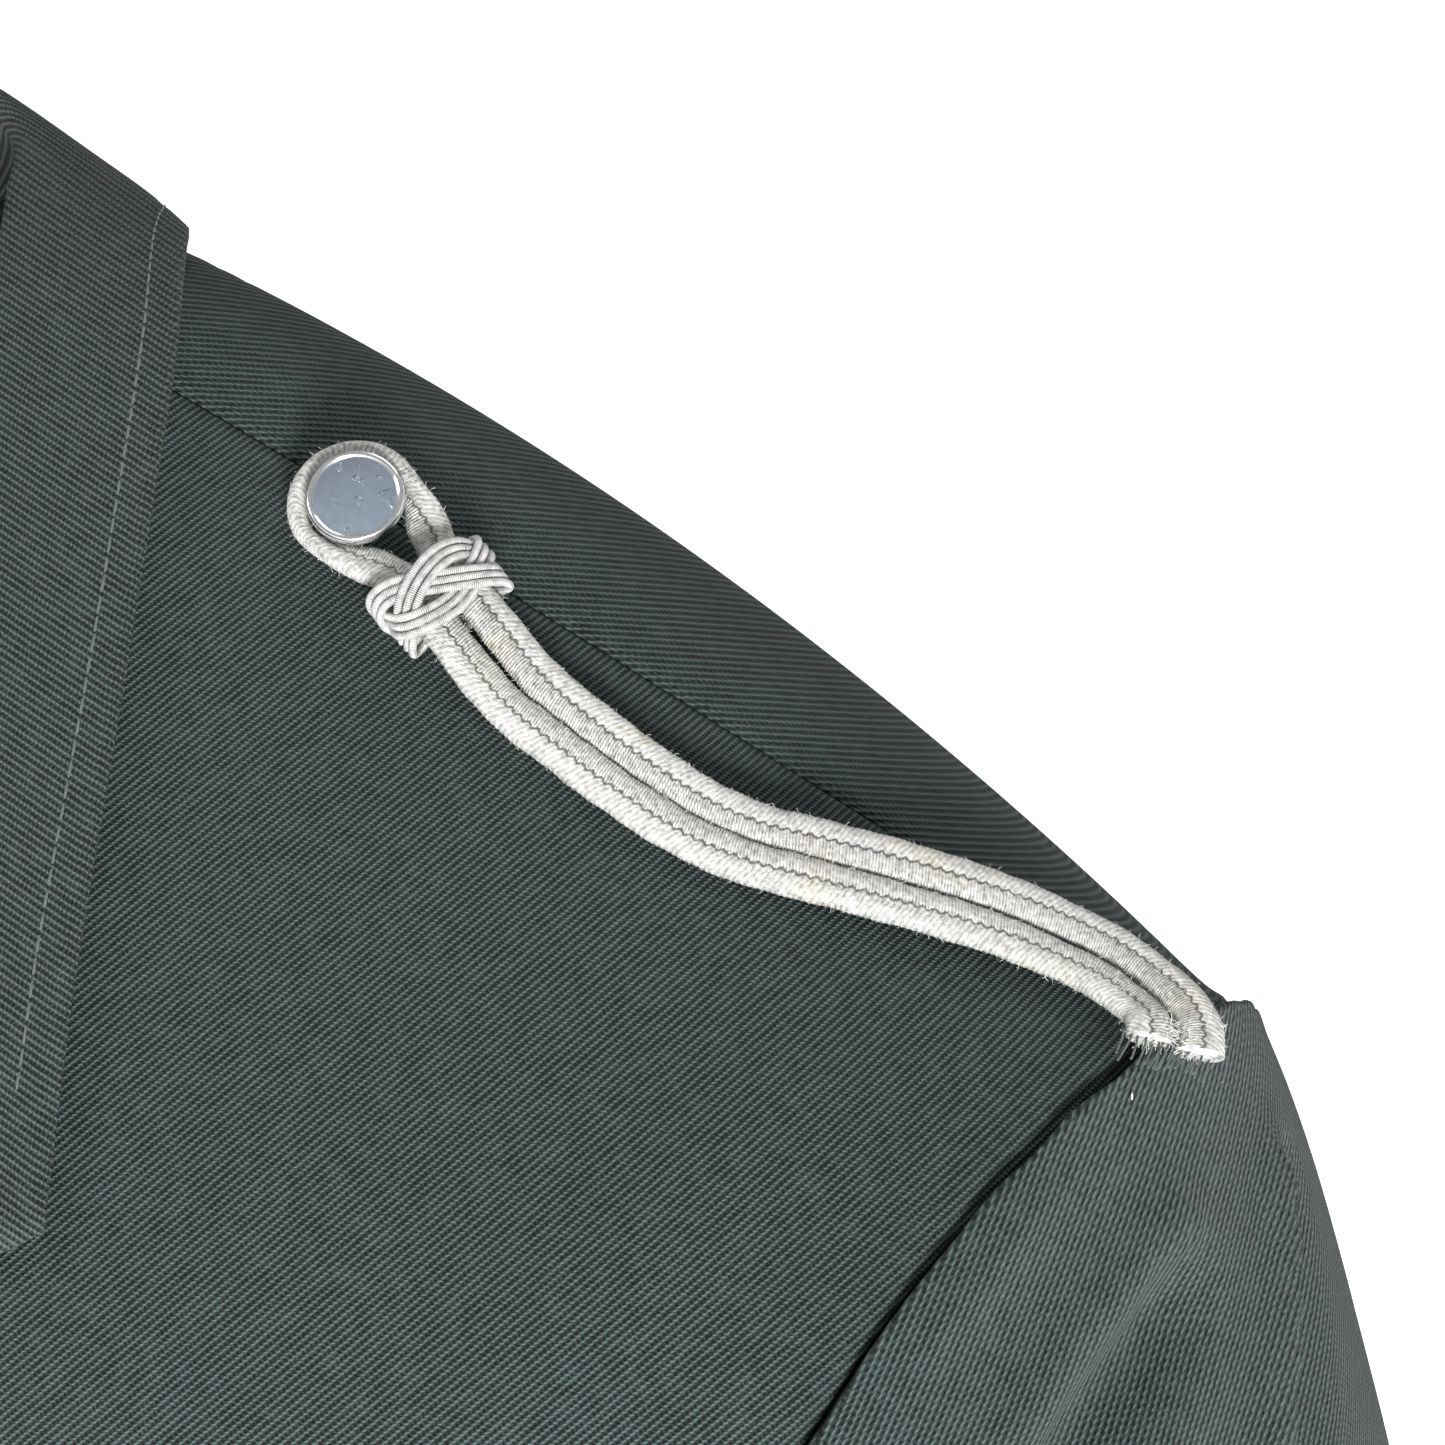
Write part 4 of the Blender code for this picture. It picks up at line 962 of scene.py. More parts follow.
def edge_round(distance, depth=0.9, width=1.3):
    """How far a folded edge thins towards its rim."""
    return depth * (1 - np.sqrt(np.clip(1 - (1 - np.clip(distance / width, 0, 1)) ** 2, 0, 1)))


STITCH_IN = 6.4
COLLAR_PLANES = (0.308, 0.538, 0.785)
half = half_collar()
middle_grid = np.concatenate([mirrored(half[1:][::-1]), half])
collar_grid = finer(middle_grid, 300, 64)
collar_normal = grid_normals(collar_grid)
rim = np.minimum(distance_in(collar_grid, 1, True), np.minimum(distance_in(collar_grid, 0, True), distance_in(collar_grid, 0, False)))
quilt = -0.16 * np.exp(-(((rim - STITCH_IN) / 0.8) ** 2))
thin = edge_round(rim)
waves = 0.22 * np.sin(np.linspace(0, 23, 300))[:, None] * np.linspace(0, 1, 64)[None] ** 2
top_side = collar_grid + collar_normal * (COLLAR_WALL / 2 - thin + quilt + waves)[..., None]
under_side = collar_grid - collar_normal * (COLLAR_WALL / 2 - thin - waves)[..., None]
outside = 1 if (collar_normal[150, 50] @ np.array([0, 1.0, 0.3])) > 0 else -1
if outside < 0:
    top_side, under_side = (
        collar_grid - collar_normal * (COLLAR_WALL / 2 - thin + quilt - waves)[..., None],
        collar_grid + collar_normal * (COLLAR_WALL / 2 - thin + waves)[..., None],
    )
shown = np.repeat(smooth((np.arange(300) - 160) / 40)[:, None], 64, axis=1)
collar_away = outside * grid_normals(top_side)
uv = weave(top_side, collar_away, -np.gradient(top_side, axis=1), 0.98, math.radians(58), COLLAR_PLANES, shown)
cut_piece("collar_cloth", "collar", top_side, under_side, uv, collar_finish, "whipcord_collar", "folded")

# %% Lapels
LAPEL = [
    # roll_along, edge_x, edge_along
    (436, -3, 437),
    (455, 22, 450),
    (490, 45, 480),
    (530, 62, 520),
    (575, 77, 562),
    (620, 90, 604),
    (660, 99, 638),
    (690, 104.5, 660),
]
LAPEL_END = [(53.5, 706), (64, 697.5), (78, 686.5), (90, 679.5), (99, 672), (106.5, 665)]


def lapel_grid(left):
    """The lapel's middle surface, lying on its front panel."""
    lift = LAPEL_WALL / 2 + 0.8
    rows = cubic(np.arange(len(LAPEL)), np.array(LAPEL, float), np.linspace(0, len(LAPEL) - 1, 10))
    edge = columns(FRONT_EDGE)
    t = np.concatenate([[0.0], np.linspace(0, 1, 6)])
    lines = []
    for roll_q, edge_x, edge_q in rows:
        roll_x = np.interp(roll_q, edge[0], edge[1])
        lines.append((roll_x + (edge_x - roll_x) * t, roll_q + (edge_q - roll_q) * t))
    end = columns(LAPEL_END)
    lines.append(tuple(np.concatenate([v[:1], v]) for v in end))
    grid = []
    for x, q in lines:
        x = x.copy()
        x[0] -= 2.0
        x[1] -= 0.6
        height = np.full(len(x), lift)
        height[0] = 0.2
        height[1:-1] += 0.5
        base = torso(share_at(x, q), q)[..., 0]
        height = height + fold_height(FRONT_FOLDS, base, q)
        if left:
            height = height + lift_left(base, q)
        grid.append(on_base(x, q, height))
    return finer(np.array(grid), 110, 40)


lapel_sides = {}
for hand, left in (("left", True), ("right", False)):
    grid = lapel_grid(left)
    normal = grid_normals(grid)
    normal = normal * (1 if normal[50, 20] @ np.array([0, -1.0, 0]) > 0 else -1)
    rim = np.minimum(distance_in(grid, 1, True), distance_in(grid, 0, True))
    thin = edge_round(rim)
    quilt = -0.16 * np.exp(-(((rim - STITCH_IN) / 0.8) ** 2))
    face = grid + normal * (LAPEL_WALL / 2 - thin + quilt)[..., None]
    back = grid - normal * (LAPEL_WALL / 2 - thin)[..., None]
    if not left:
        face, back, normal = mirrored(face), mirrored(back), mirrored(normal)
    lapel_sides[hand] = (face, normal)
    uv = weave(face, normal, np.gradient(face, axis=0), 0.95)
    held_on = ("front_panel_" + hand,)
    cut_piece("lapel_cloth_" + hand, "lapel_" + hand, face, back, uv, collar_finish, "whipcord_collar", "folded", held_on)

# %% [markdown]
# Topstitching
#
# A row of machine stitches runs a presser foot's width inside the collar's edge. A stitch is
# a short length of thread that dips into the cloth at both ends. One small stitch is made
# once, and Geometry Nodes lays it along a line at the stitch length.

# %% A row of stitches with Geometry Nodes
thread_finish = Finish("topstitch_thread", 0.6, Sheen_Weight=0.2)
ply = thread_finish.noise(5200.0, 1.0)
thread_finish.colour(thread_finish.blend(ply, (0.035, 0.046, 0.043), (0.088, 0.11, 0.102)))
thread_finish.relief(ply, 0.00008)


def tree_of(name, sizes):
    """A Geometry Nodes tree with a geometry input and named sizes."""
    tree = bpy.data.node_groups.new(name, "GeometryNodeTree")
    tree.interface.new_socket("Geometry", in_out="INPUT", socket_type="NodeSocketGeometry")
    for key, default in sizes.items():
        socket = tree.interface.new_socket(key, in_out="INPUT", socket_type="NodeSocketFloat")
        socket.default_value = default
    tree.interface.new_socket("Geometry", in_out="OUTPUT", socket_type="NodeSocketGeometry")
    return tree, tree.nodes.new("NodeGroupInput"), tree.nodes.new("NodeGroupOutput")


def add(tree, kind, settings=(), **links):
    """One node of a tree with its settings, values and links."""
    node = tree.nodes.new(kind)
    for key, value in dict(settings).items():
        setattr(node, key, value)
    for key, value in links.items():
        socket = node.inputs[key.replace("_", " ")]
        if isinstance(value, bpy.types.NodeSocket):
            tree.links.new(value, socket)
        else:
            socket.default_value = value
    return node


def finish_tree(tree, output, instances, material):
    real = add(tree, "GeometryNodeRealizeInstances", Geometry=instances)
    painted = add(tree, "GeometryNodeSetMaterial", Geometry=real.outputs[0])
    painted.inputs["Material"].default_value = material
    tree.links.new(painted.outputs[0], output.inputs[0])


def baked(carrier, tree, name, **sizes):
    """The plain mesh that a tree makes of an object."""
    modifier = carrier.modifiers.new("made", "NODES")
    modifier.node_group = tree
    names = {item.name: item.identifier for item in tree.interface.items_tree if item.in_out == "INPUT"}
    for key, value in sizes.items():
        modifier[names[key.replace("_", " ")]] = value
    bpy.context.view_layer.update()
    graph = bpy.context.evaluated_depsgraph_get()
    mesh = bpy.data.meshes.new_from_object(carrier.evaluated_get(graph))
    bpy.data.objects.remove(carrier, do_unlink=True)
    mesh.name = name
    mesh.polygons.foreach_set("use_smooth", np.ones(len(mesh.polygons), bool))
    piece = bpy.data.objects.new(name, mesh)
    bpy.context.scene.collection.objects.link(piece)
    print(name, len(mesh.polygons), "faces")
    return piece


def line_object(name, points, ups):
    """A line of edges with the way up stored at every point."""
    mesh = bpy.data.meshes.new(name)
    count = len(points)
    mesh.from_pydata((np.asarray(points) * MM).tolist(), [(k, k + 1) for k in range(count - 1)], [])
    attribute = mesh.attributes.new("stitch_up", "FLOAT_VECTOR", "POINT")
    attribute.data.foreach_set("vector", np.asarray(ups).astype(np.float32).ravel())
    holder = bpy.data.objects.new(name, mesh)
    bpy.context.scene.collection.objects.link(holder)
    return holder


def stitch_tree(material):
    """Lays one thread stitch at even steps along a curve."""
    tree, source, output = tree_of("stitch_row", {"Stitch Length": 0.0031, "Thread Share": 0.74, "Thread Radius": 0.00018})
    path = add(tree, "GeometryNodeMeshToCurve", Mesh=source.outputs[0])
    even = add(tree, "GeometryNodeResampleCurve", {"mode": "LENGTH"}, Curve=path.outputs[0], Length=source.outputs[1])
    long = add(tree, "ShaderNodeMath", {"operation": "MULTIPLY"})
    tree.links.new(source.outputs[1], long.inputs[0])
    tree.links.new(source.outputs[2], long.inputs[1])
    half_long = add(tree, "ShaderNodeMath", {"operation": "MULTIPLY"})
    tree.links.new(long.outputs[0], half_long.inputs[0])
    half_long.inputs[1].default_value = 0.5
    back = add(tree, "ShaderNodeMath", {"operation": "MULTIPLY"})
    tree.links.new(half_long.outputs[0], back.inputs[0])
    back.inputs[1].default_value = -1.0
    ends = []
    for value in (back, half_long):
        place = add(tree, "ShaderNodeCombineXYZ")
        tree.links.new(value.outputs[0], place.inputs[2])
        dip = tree.nodes.new("ShaderNodeVectorMath")
        dip.operation = "ADD"
        tree.links.new(place.outputs[0], dip.inputs[0])
        dip.inputs[1].default_value = (-0.00016, 0, 0)
        ends.append(dip)
    arc = add(tree, "GeometryNodeCurveQuadraticBezier", Resolution=6)
    tree.links.new(ends[0].outputs[0], arc.inputs["Start"])
    arc.inputs["Middle"].default_value = (0.00022, 0, 0)
    tree.links.new(ends[1].outputs[0], arc.inputs["End"])
    round_section = add(tree, "GeometryNodeCurvePrimitiveCircle", Resolution=6, Radius=source.outputs[3])
    swept = add(tree, "GeometryNodeCurveToMesh", Curve=arc.outputs[0], Profile_Curve=round_section.outputs[0], Fill_Caps=True)
    tangent = add(tree, "GeometryNodeInputTangent")
    turned = add(tree, "FunctionNodeAlignRotationToVector", {"axis": "Z"}, Vector=tangent.outputs[0])
    up = add(tree, "GeometryNodeInputNamedAttribute", {"data_type": "FLOAT_VECTOR"})
    up.inputs["Name"].default_value = "stitch_up"
    placed = add(tree, "FunctionNodeAlignRotationToVector", {"axis": "X", "pivot_axis": "Z"}, Rotation=turned.outputs[0], Vector=up.outputs[0])
    laid = add(tree, "GeometryNodeInstanceOnPoints", Points=even.outputs[0], Instance=swept.outputs[0], Rotation=placed.outputs[0])
    finish_tree(tree, output, laid.outputs[0], material)
    return tree


def inside_line(grid, away, near_edge, start_row, end_row):
    """A line at STITCH_IN from the last column of a grid, lifted by a little."""
    run = distance_in(grid, 1, near_edge)
    points = []
    ups = []
    normals = away
    for i in range(start_row, end_row):
        order = np.argsort(run[i])
        place = np.interp(STITCH_IN, run[i][order], order.astype(float))
        j = min(int(place), grid.shape[1] - 2)
        f = place - j
        points.append(grid[i, j] * (1 - f) + grid[i, j + 1] * f + normals[i, j] * 0.06)
        ups.append(normals[i, j])
    return np.array(points), np.array(ups)


def stitch_row(name, points, ups, tree):
    return baked(line_object(name + "_line", points, ups), tree, name)


row_tree = stitch_tree(thread_finish.material)
collar_up = outside * collar_normal
line, ups = inside_line(top_side, collar_up, True, 9, 291)
collar_stitches = stitch_row("collar_topstitch", line, ups, row_tree)
lapel_lines = [inside_line(*lapel_sides[hand], True, 6, 103) for hand in ("left", "right")]
lapel_stitches = [
    stitch_row("lapel_topstitch_" + hand, points, ups, row_tree)
    for hand, (points, ups) in zip(("left", "right"), lapel_lines)
]

# %% [markdown]
# Shoulder braid
#
# The braid is one flat band with two cores, wound in silver thread, so each leg has two soft
# lobes and a herringbone line where the windings meet. It is folded round the button, where
# it stands on edge, and both ends are sewn down at the armhole. A section is swept along the
# line between the legs, turning on edge as it reaches the loop.

# %% Braid finish
braid_finish = Finish("silver_braid", 0.42, 0.12, Sheen_Weight=0.12)
across, along = braid_finish.woven()
from_line = across.math("ABSOLUTE")
zigzag = ((along * 0.62).wave() - 0.5) * 0.14
from_core = (across + zigzag).math("ABSOLUTE")
outer_half = ((across + zigzag) * 30.0 + 0.5).clamped()
wobble = braid_finish.noise(700.0, 2.0)
coarse = (along * 1.25 + from_line * 1.9 + (wobble - 0.5) * 1.1).wave()
fine = (along * 2.2 + from_line * 1.0 + (wobble - 0.5) * 0.6).wave()
threads = (along * 4.6 + from_line * 6.0 + (wobble - 0.5) * 0.6).wave()
winding = outer_half * (coarse * 0.45 + threads * 0.35) + (1 - outer_half) * (fine * 0.5 + threads * 0.2)
strand_tone = braid_finish.noise(1300.0, 2.0)
tarnish = braid_finish.noise(95.0, 3.0, roughness=0.6)
# The line where the two windings meet is a sunk channel in the bump, and its colour is painted dark as painted shade in
# that channel.
channel_dip_and_shade = (1 - (from_core * 8.0).clamped()) ** 1.5
# The band is made darker towards its two side edges.
edge_darkening = ((from_line - 0.86) * 5.0).clamped()
shade = (0.26 + winding * 0.72 + (strand_tone - 0.5) * 1.3 + outer_half * 0.1 - channel_dip_and_shade * 0.75 - edge_darkening * 0.2).clamped()
silver = braid_finish.blend(shade, (0.10, 0.10, 0.096), (0.66, 0.655, 0.625))
yellow = ((tarnish - 0.54) * 5.0).clamped() * 0.6
silver = braid_finish.blend(yellow, silver, braid_finish.blend(1.0, silver, (1.04, 0.98, 0.76), "MULTIPLY"))
braid_finish.colour(silver)
braid_finish.rough(0.36 + braid_finish.noise(1100.0, 1.0) * 0.3)
braid_finish.relief(winding * 0.9 - channel_dip_and_shade * 0.9 + strand_tone * 0.5, 0.0003)

# %% The line between the legs
BRAID = [
    # x, along, height of the legs' middle over the cloth
    (114.9, 791.2, 5.0),
    (121.8, 788.1, 5.5),
    (129.3, 785.2, 6.0),
    (137.0, 783.1, 4.1),
    (144.7, 780.8, 2.3),
    (151.5, 779.5, 1.8),
    (158.1, 778.4, 1.75),
    (166.2, 777.4, 1.75),
    (173.9, 777.0, 1.75),
    (181.0, 777.6, 1.75),
    (187.0, 779.0, 1.75),
    (200.0, 782.4, 1.75),
    (212.8, 786.3, 1.8),
    (220.6, 788.0, 1.9),
    (226.2, 788.0, 2.2),
    (231.0, 786.0, 2.9),
    (235.0, 783.2, 3.9),
    (237.6, 780.2, 4.4),
    (239.0, 777.2, 4.0),
]
LEG_WIDTH, LEG_THICK, LEG_SPACE = 6.2, 3.2, 1.0
LEG_LEAN = np.array([0.0, -0.45, 0.0])
LOOP_RADIUS = 8.0
LOOP_SHIFT = np.array([-1.7, -1.8, 0.5])
KNOT_SHIFT = np.array([-1.3, 0.0, 0.9])
LOOP_LEAN = np.array([-0.05, -0.55, 0.0])
KNOT_AT, KNOT_LONG = 19.6, 10.2

braid_table = cubic(np.arange(len(BRAID)), np.array(BRAID, float), np.linspace(0, len(BRAID) - 1, 500))
braid_line = on_base(braid_table[:, 0], braid_table[:, 1], braid_table[:, 2])
braid_length = np.concatenate([[0], np.cumsum(np.linalg.norm(np.diff(braid_line, axis=0), axis=1))])
braid_way = unit(np.gradient(braid_line, axis=0))
braid_up = torso_normal(share_at(braid_table[:, 0], braid_table[:, 1]), braid_table[:, 1])


def braid_frame(s):
    """Point, way along, across and up at the length s from the button."""
    read = [np.array([np.interp(s, braid_length, v[:, k]) for k in range(3)]) for v in (braid_line, braid_way, braid_up)]
    point, way, up = read[0], unit(read[1]), read[2]
    over = unit(np.cross(up, way))
    return point, way, over, unit(np.cross(way, over))


def braid_centres():
    """The middle of the band all the way from one cut end round the loop to the other."""
    apart = (LEG_WIDTH + LEG_SPACE) / 2
    legs = KNOT_AT - KNOT_LONG / 2
    places = [(s, apart, 0.0) for s in np.arange(braid_length[-1], legs, -0.26)]
    for s in np.linspace(legs, 0, 50)[:-1]:
        places.append((s, apart + (LOOP_RADIUS - apart) * smooth((legs - s) / legs), 0.0))
    places += [(0.0, LOOP_RADIUS, angle) for angle in np.linspace(0, math.pi / 2, 44)]
    first, second = [], []
    for s, side, angle in places:
        point, way, over, up = braid_frame(s)
        near = smooth((legs - s) / legs)
        turned = smooth((LOOP_RADIUS * angle - s + 9.5) / 10.0)
        tilt = smooth((s - 22) / 26) * (1 - 0.3 * smooth((s - 106) / 12))
        late = smooth((s - 66) / 34)
        point = point + LOOP_SHIFT * near + up * (tilt * 1.15 + late * 1.7)
        up = unit(up + LOOP_LEAN * near + LEG_LEAN * tilt)
        over = unit(over - (over @ up) * up)
        way = np.cross(over, up)
        out = over * math.cos(angle) - way * math.sin(angle)
        other = -over * math.cos(angle) - way * math.sin(angle)
        drop = np.array([0.0, 0.0, 0.9 * tilt - 0.35 * late])
        first.append((point + out * side - drop, out, up, turned))
        second.append((point + other * side + drop, other, up, turned))
    return first + second[::-1][1:]


BRAID_AROUND = 36


def sweep_braid():
    """The band's rings and their across and along coordinates."""
    path = braid_centres()
    middle = np.array([row[0] for row in path])
    way = unit(np.gradient(middle, axis=0))
    run = np.concatenate([[0], np.cumsum(np.linalg.norm(np.diff(middle, axis=0), axis=1))])
    angle = 2 * math.pi * np.arange(BRAID_AROUND + 1) / BRAID_AROUND
    rings = []
    for k, (centre, out, up, bend) in enumerate(path):
        side = unit(out - (out @ way[k]) * way[k])
        top = unit(np.cross(way[k], side))
        top = top if top @ up > 0 else -top
        lean = math.radians(84) * bend
        wide = side * math.cos(lean) + top * math.sin(lean)
        thick = top * math.cos(lean) - side * math.sin(lean)
        x = np.cos(angle)
        lobes = 0.8 + 0.2 * np.abs(np.sin(2 * np.arccos(np.clip(x, -1, 1)))) ** 0.8
        uneven = 1 + 0.02 * math.sin(run[k] / 1.7) + 0.015 * math.sin(run[k] / 0.73 + 1)
        half = LEG_WIDTH / 2 * (1 - 0.36 * bend) * uneven
        edge_twist = 0.06 * np.sin(run[k] * 2 * math.pi * 1.25) * np.abs(x) ** 6 * np.sign(x)
        depth = LEG_THICK / 2 * (1 - 0.05 * bend) * lobes
        rings.append(centre + np.outer(half * x + edge_twist, wide) + np.outer(depth * np.sin(angle), thick))
    across = np.repeat(np.cos(angle)[None], len(path), axis=0)
    along = np.repeat(run[:, None], len(angle), axis=1)
    return np.array(rings), np.stack([across, along], axis=-1)


def tube_mesh(name, rings, uv, material, closed=False):
    """A tube from rings whose last column repeats the first. Open ends are filled."""
    rings, around = rings[:, :-1], rings.shape[1] - 1
    count = len(rings)
    index = np.arange(count * around).reshape(count, around)
    index = np.concatenate([index, index[:, :1]], axis=1)
    read = np.arange(count * (around + 1)).reshape(count, around + 1)
    if closed:
        index = np.concatenate([index, index[:1]])
        read = np.concatenate([read, read[-1:] + around + 1])
        uv = np.concatenate([uv, 2 * uv[-1:] - uv[-2:-1]])
    faces, corners = quads(index), quads(read)
    points = rings.reshape(-1, 3)
    flat = uv.reshape(-1, 2)
    corner_uv = flat[corners]
    if not closed:
        mesh_points = [points]
        extra = []
        for end, ring in ((0, index[0]), (1, index[-1])):
            centre = len(points) + end
            mesh_points.append(points[ring[:-1]].mean(axis=0)[None])
            for j in range(0, around, 2):
                face = (centre, ring[j], ring[j + 1], ring[j + 2])
                extra.append(face if end else face[::-1])
        points = np.concatenate(mesh_points)
        faces = np.concatenate([faces, np.array(extra)])
        cap = np.repeat(flat[corners[-len(extra):, :1]], 4, axis=1)
        corner_uv = np.concatenate([corner_uv, cap])
    return new_mesh(name, points, faces, flat, material, corner_uv)


rings, braid_uv = sweep_braid()
braids = {}
for hand, left in (("left", True), ("right", False)):
    braids[hand] = tube_mesh("braid_" + hand, rings if left else mirrored(rings), braid_uv, braid_finish.material)
print("braid length", round(float(braid_uv[-1, 0, 1]), 1), "mm")

# %% [markdown]
# The woven slider
#
# A turk's head knot holds the two legs together. A line that goes three times round while it
# swings from side to side four times closes on itself, and it is laid over and under where it
# meets itself. Three thin cords lie side by side along that line, each wound with fine wire.

# %% Knot finish and strands
wire_finish = Finish("wound_silver", 0.38, 0.12, Sheen_Weight=0.1)
across, along = wire_finish.woven()
turns = (along * 3.6 + (wire_finish.noise(900.0, 1.0) - 0.5) * 0.5).wave()
strand_tone = wire_finish.noise(700.0, 3.0)
shade = (turns * 0.5 + strand_tone * 1.1 - 0.28).clamped()
silver = wire_finish.blend(shade, (0.11, 0.11, 0.11), (0.78, 0.78, 0.76))
silver = wire_finish.blend(((wire_finish.noise(140.0, 2.0) - 0.55) * 4.0).clamped() * 0.4, silver, (0.66, 0.62, 0.52))
wire_finish.colour(silver)
wire_finish.relief(turns + strand_tone * 0.3, 0.00014)

KNOT_HALF_WIDTH, KNOT_HALF_HEIGHT = 10.0, 5.6
STRAND_RADIUS = 0.57
STRAND_SPACE = 1.24
KNOT_LEADS, KNOT_BIGHTS = 3, 4
STRAND_STEPS = 420


def knot_strand(offset, phase):
    """A closed line round the legs: its points and the outward way at each."""
    point, way, over, up = braid_frame(KNOT_AT)
    point = point + KNOT_SHIFT
    angle = 2 * math.pi * KNOT_LEADS * np.arange(STRAND_STEPS) / STRAND_STEPS + phase
    swing_at = KNOT_BIGHTS * (angle - phase) / KNOT_LEADS
    swing = (KNOT_LONG - 3.4) / 2
    c, s = np.cos(angle), np.sin(angle)
    square = (np.abs(c) ** 3 + np.abs(s) ** 3) ** (-1 / 3)
    lift = 0.62 * np.sin(2 * swing_at + 0.5 * math.pi * 0)
    wide = (KNOT_HALF_WIDTH - 1.3) * (0.55 + 0.45 * square) + lift
    high = (KNOT_HALF_HEIGHT - 1.3) * (0.4 + 0.6 * square) + lift
    along_axis = swing * np.cos(swing_at)
    flat = np.stack([wide * c, high * s, along_axis], axis=-1)
    tangent = unit(np.roll(flat, -1, axis=0) - np.roll(flat, 1, axis=0))
    outward = unit(np.stack([c * high / wide, s, np.zeros_like(c)], axis=-1))
    sideways = unit(np.cross(tangent, outward))
    flat = flat + sideways * offset
    basis = np.array([over, up, way])
    return point + flat @ basis, outward @ basis


def strand_tube(name, points, outward, radius, material):
    way = unit(np.roll(points, -1, axis=0) - np.roll(points, 1, axis=0))
    side = unit(np.cross(way, outward))
    top = np.cross(side, way)
    angle = 2 * math.pi * np.arange(11) / 10
    ring = points[:, None] + radius * (np.cos(angle)[None, :, None] * side[:, None] + np.sin(angle)[None, :, None] * top[:, None])
    run = np.cumsum(np.linalg.norm(np.roll(points, -1, axis=0) - points, axis=1))
    uv = np.stack(np.broadcast_arrays(angle[None] / math.pi - 1, run[:, None]), axis=-1)
    return tube_mesh(name, ring, uv, material, closed=True)


def joined(name, pieces):
    """Several mesh objects made one."""
    bpy.ops.object.select_all(action="DESELECT")
    for piece in pieces:
        piece.select_set(True)
    bpy.context.view_layer.objects.active = pieces[0]
    bpy.ops.object.join()
    pieces[0].name = name
    return pieces[0]


KNOT_PHASE = 0.45
knots = {}
for hand, left in (("left", True), ("right", False)):
    strands = []
    for k, offset in enumerate((-STRAND_SPACE, 0.0, STRAND_SPACE)):
        points, outward = knot_strand(offset, KNOT_PHASE)
        if not left:
            points, outward = mirrored(points), mirrored(outward)
        strands.append(strand_tube("strand_%d" % k, points, outward, STRAND_RADIUS, wire_finish.material))
    knots[hand] = joined("knot_strands_" + hand, strands)
print("knot strands", len(knots["left"].data.polygons), "faces")

# %% [markdown]
# Buttons
#
# The small shoulder button is a slightly domed disc set in a polished rim. Its face is
# lacquered and a little uneven, so its reflections break up. A profile is turned round the
# button's own line, which gives the true rim, and a soft noise in the normal does the rest.

# %% Button finishes and turning
disc_finish = Finish("lacquered_disc", 0.16, 0.0, Coat_Weight=0.7, Coat_Roughness=0.05, Specular_IOR_Level=0.6)
dents = ((disc_finish.noise(520.0, 1.5, roughness=0.4) - 0.6) * 7.0).clamped()
mottle = disc_finish.noise(800.0, 2.0)
disc_finish.colour(disc_finish.blend(mottle, (0.088, 0.11, 0.138), (0.13, 0.155, 0.185)))
disc_finish.relief(dents + disc_finish.noise(1100.0, 1.0) * 0.15, 0.00028)
rim_finish = Finish("polished_rim", 0.14, 1.0)
scuffs = rim_finish.noise(1800.0, 2.0)
rim_finish.colour(rim_finish.blend(scuffs, (0.62, 0.64, 0.66), (0.9, 0.91, 0.92)))
rim_finish.rough(0.1 + scuffs * 0.16)
shank_finish = Finish("button_shell", 0.35, 0.9)
shank_finish.colour(shank_finish.blend(shank_finish.noise(600.0), (0.3, 0.31, 0.33), (0.5, 0.51, 0.53)))

SHOULDER_PROFILE = [
    # radius, height over the cloth, finish: 0 disc, 1 rim, 2 shell
    (0.0, 10.6, 0), (1.4, 10.56, 0), (2.8, 10.42, 0), (4.2, 10.16, 0), (5.2, 9.86, 0), (5.75, 9.62, 0), (5.86, 9.6, 1),
    (5.95, 9.72, 1), (6.08, 9.86, 1), (6.3, 9.95, 1), (6.52, 9.9, 1), (6.7, 9.7, 1), (6.8, 9.35, 1), (6.84, 8.7, 1),
    (6.8, 8.2, 1), (6.6, 7.9, 1), (6.1, 7.75, 2), (3.0, 7.6, 2), (1.6, 7.4, 2), (1.6, -0.7, 2), (0.0, -0.7, 2),
]  # fmt: skip
FRONT_PROFILE = [
    (0.0, 4.4, 0), (2.5, 4.33, 0), (5.2, 4.1, 0), (7.4, 3.7, 0), (8.7, 3.3, 0), (8.9, 3.3, 1), (9.1, 3.5, 1),
    (9.5, 3.66, 1), (9.9, 3.6, 1), (10.25, 3.35, 1), (10.4, 2.9, 1), (10.4, 2.3, 1), (10.1, 1.9, 1), (9.0, 1.7, 2),
    (2.4, 1.4, 2), (2.4, 0.4, 2), (0.0, 0.4, 2),
]  # fmt: skip
TURN_STEPS = 72


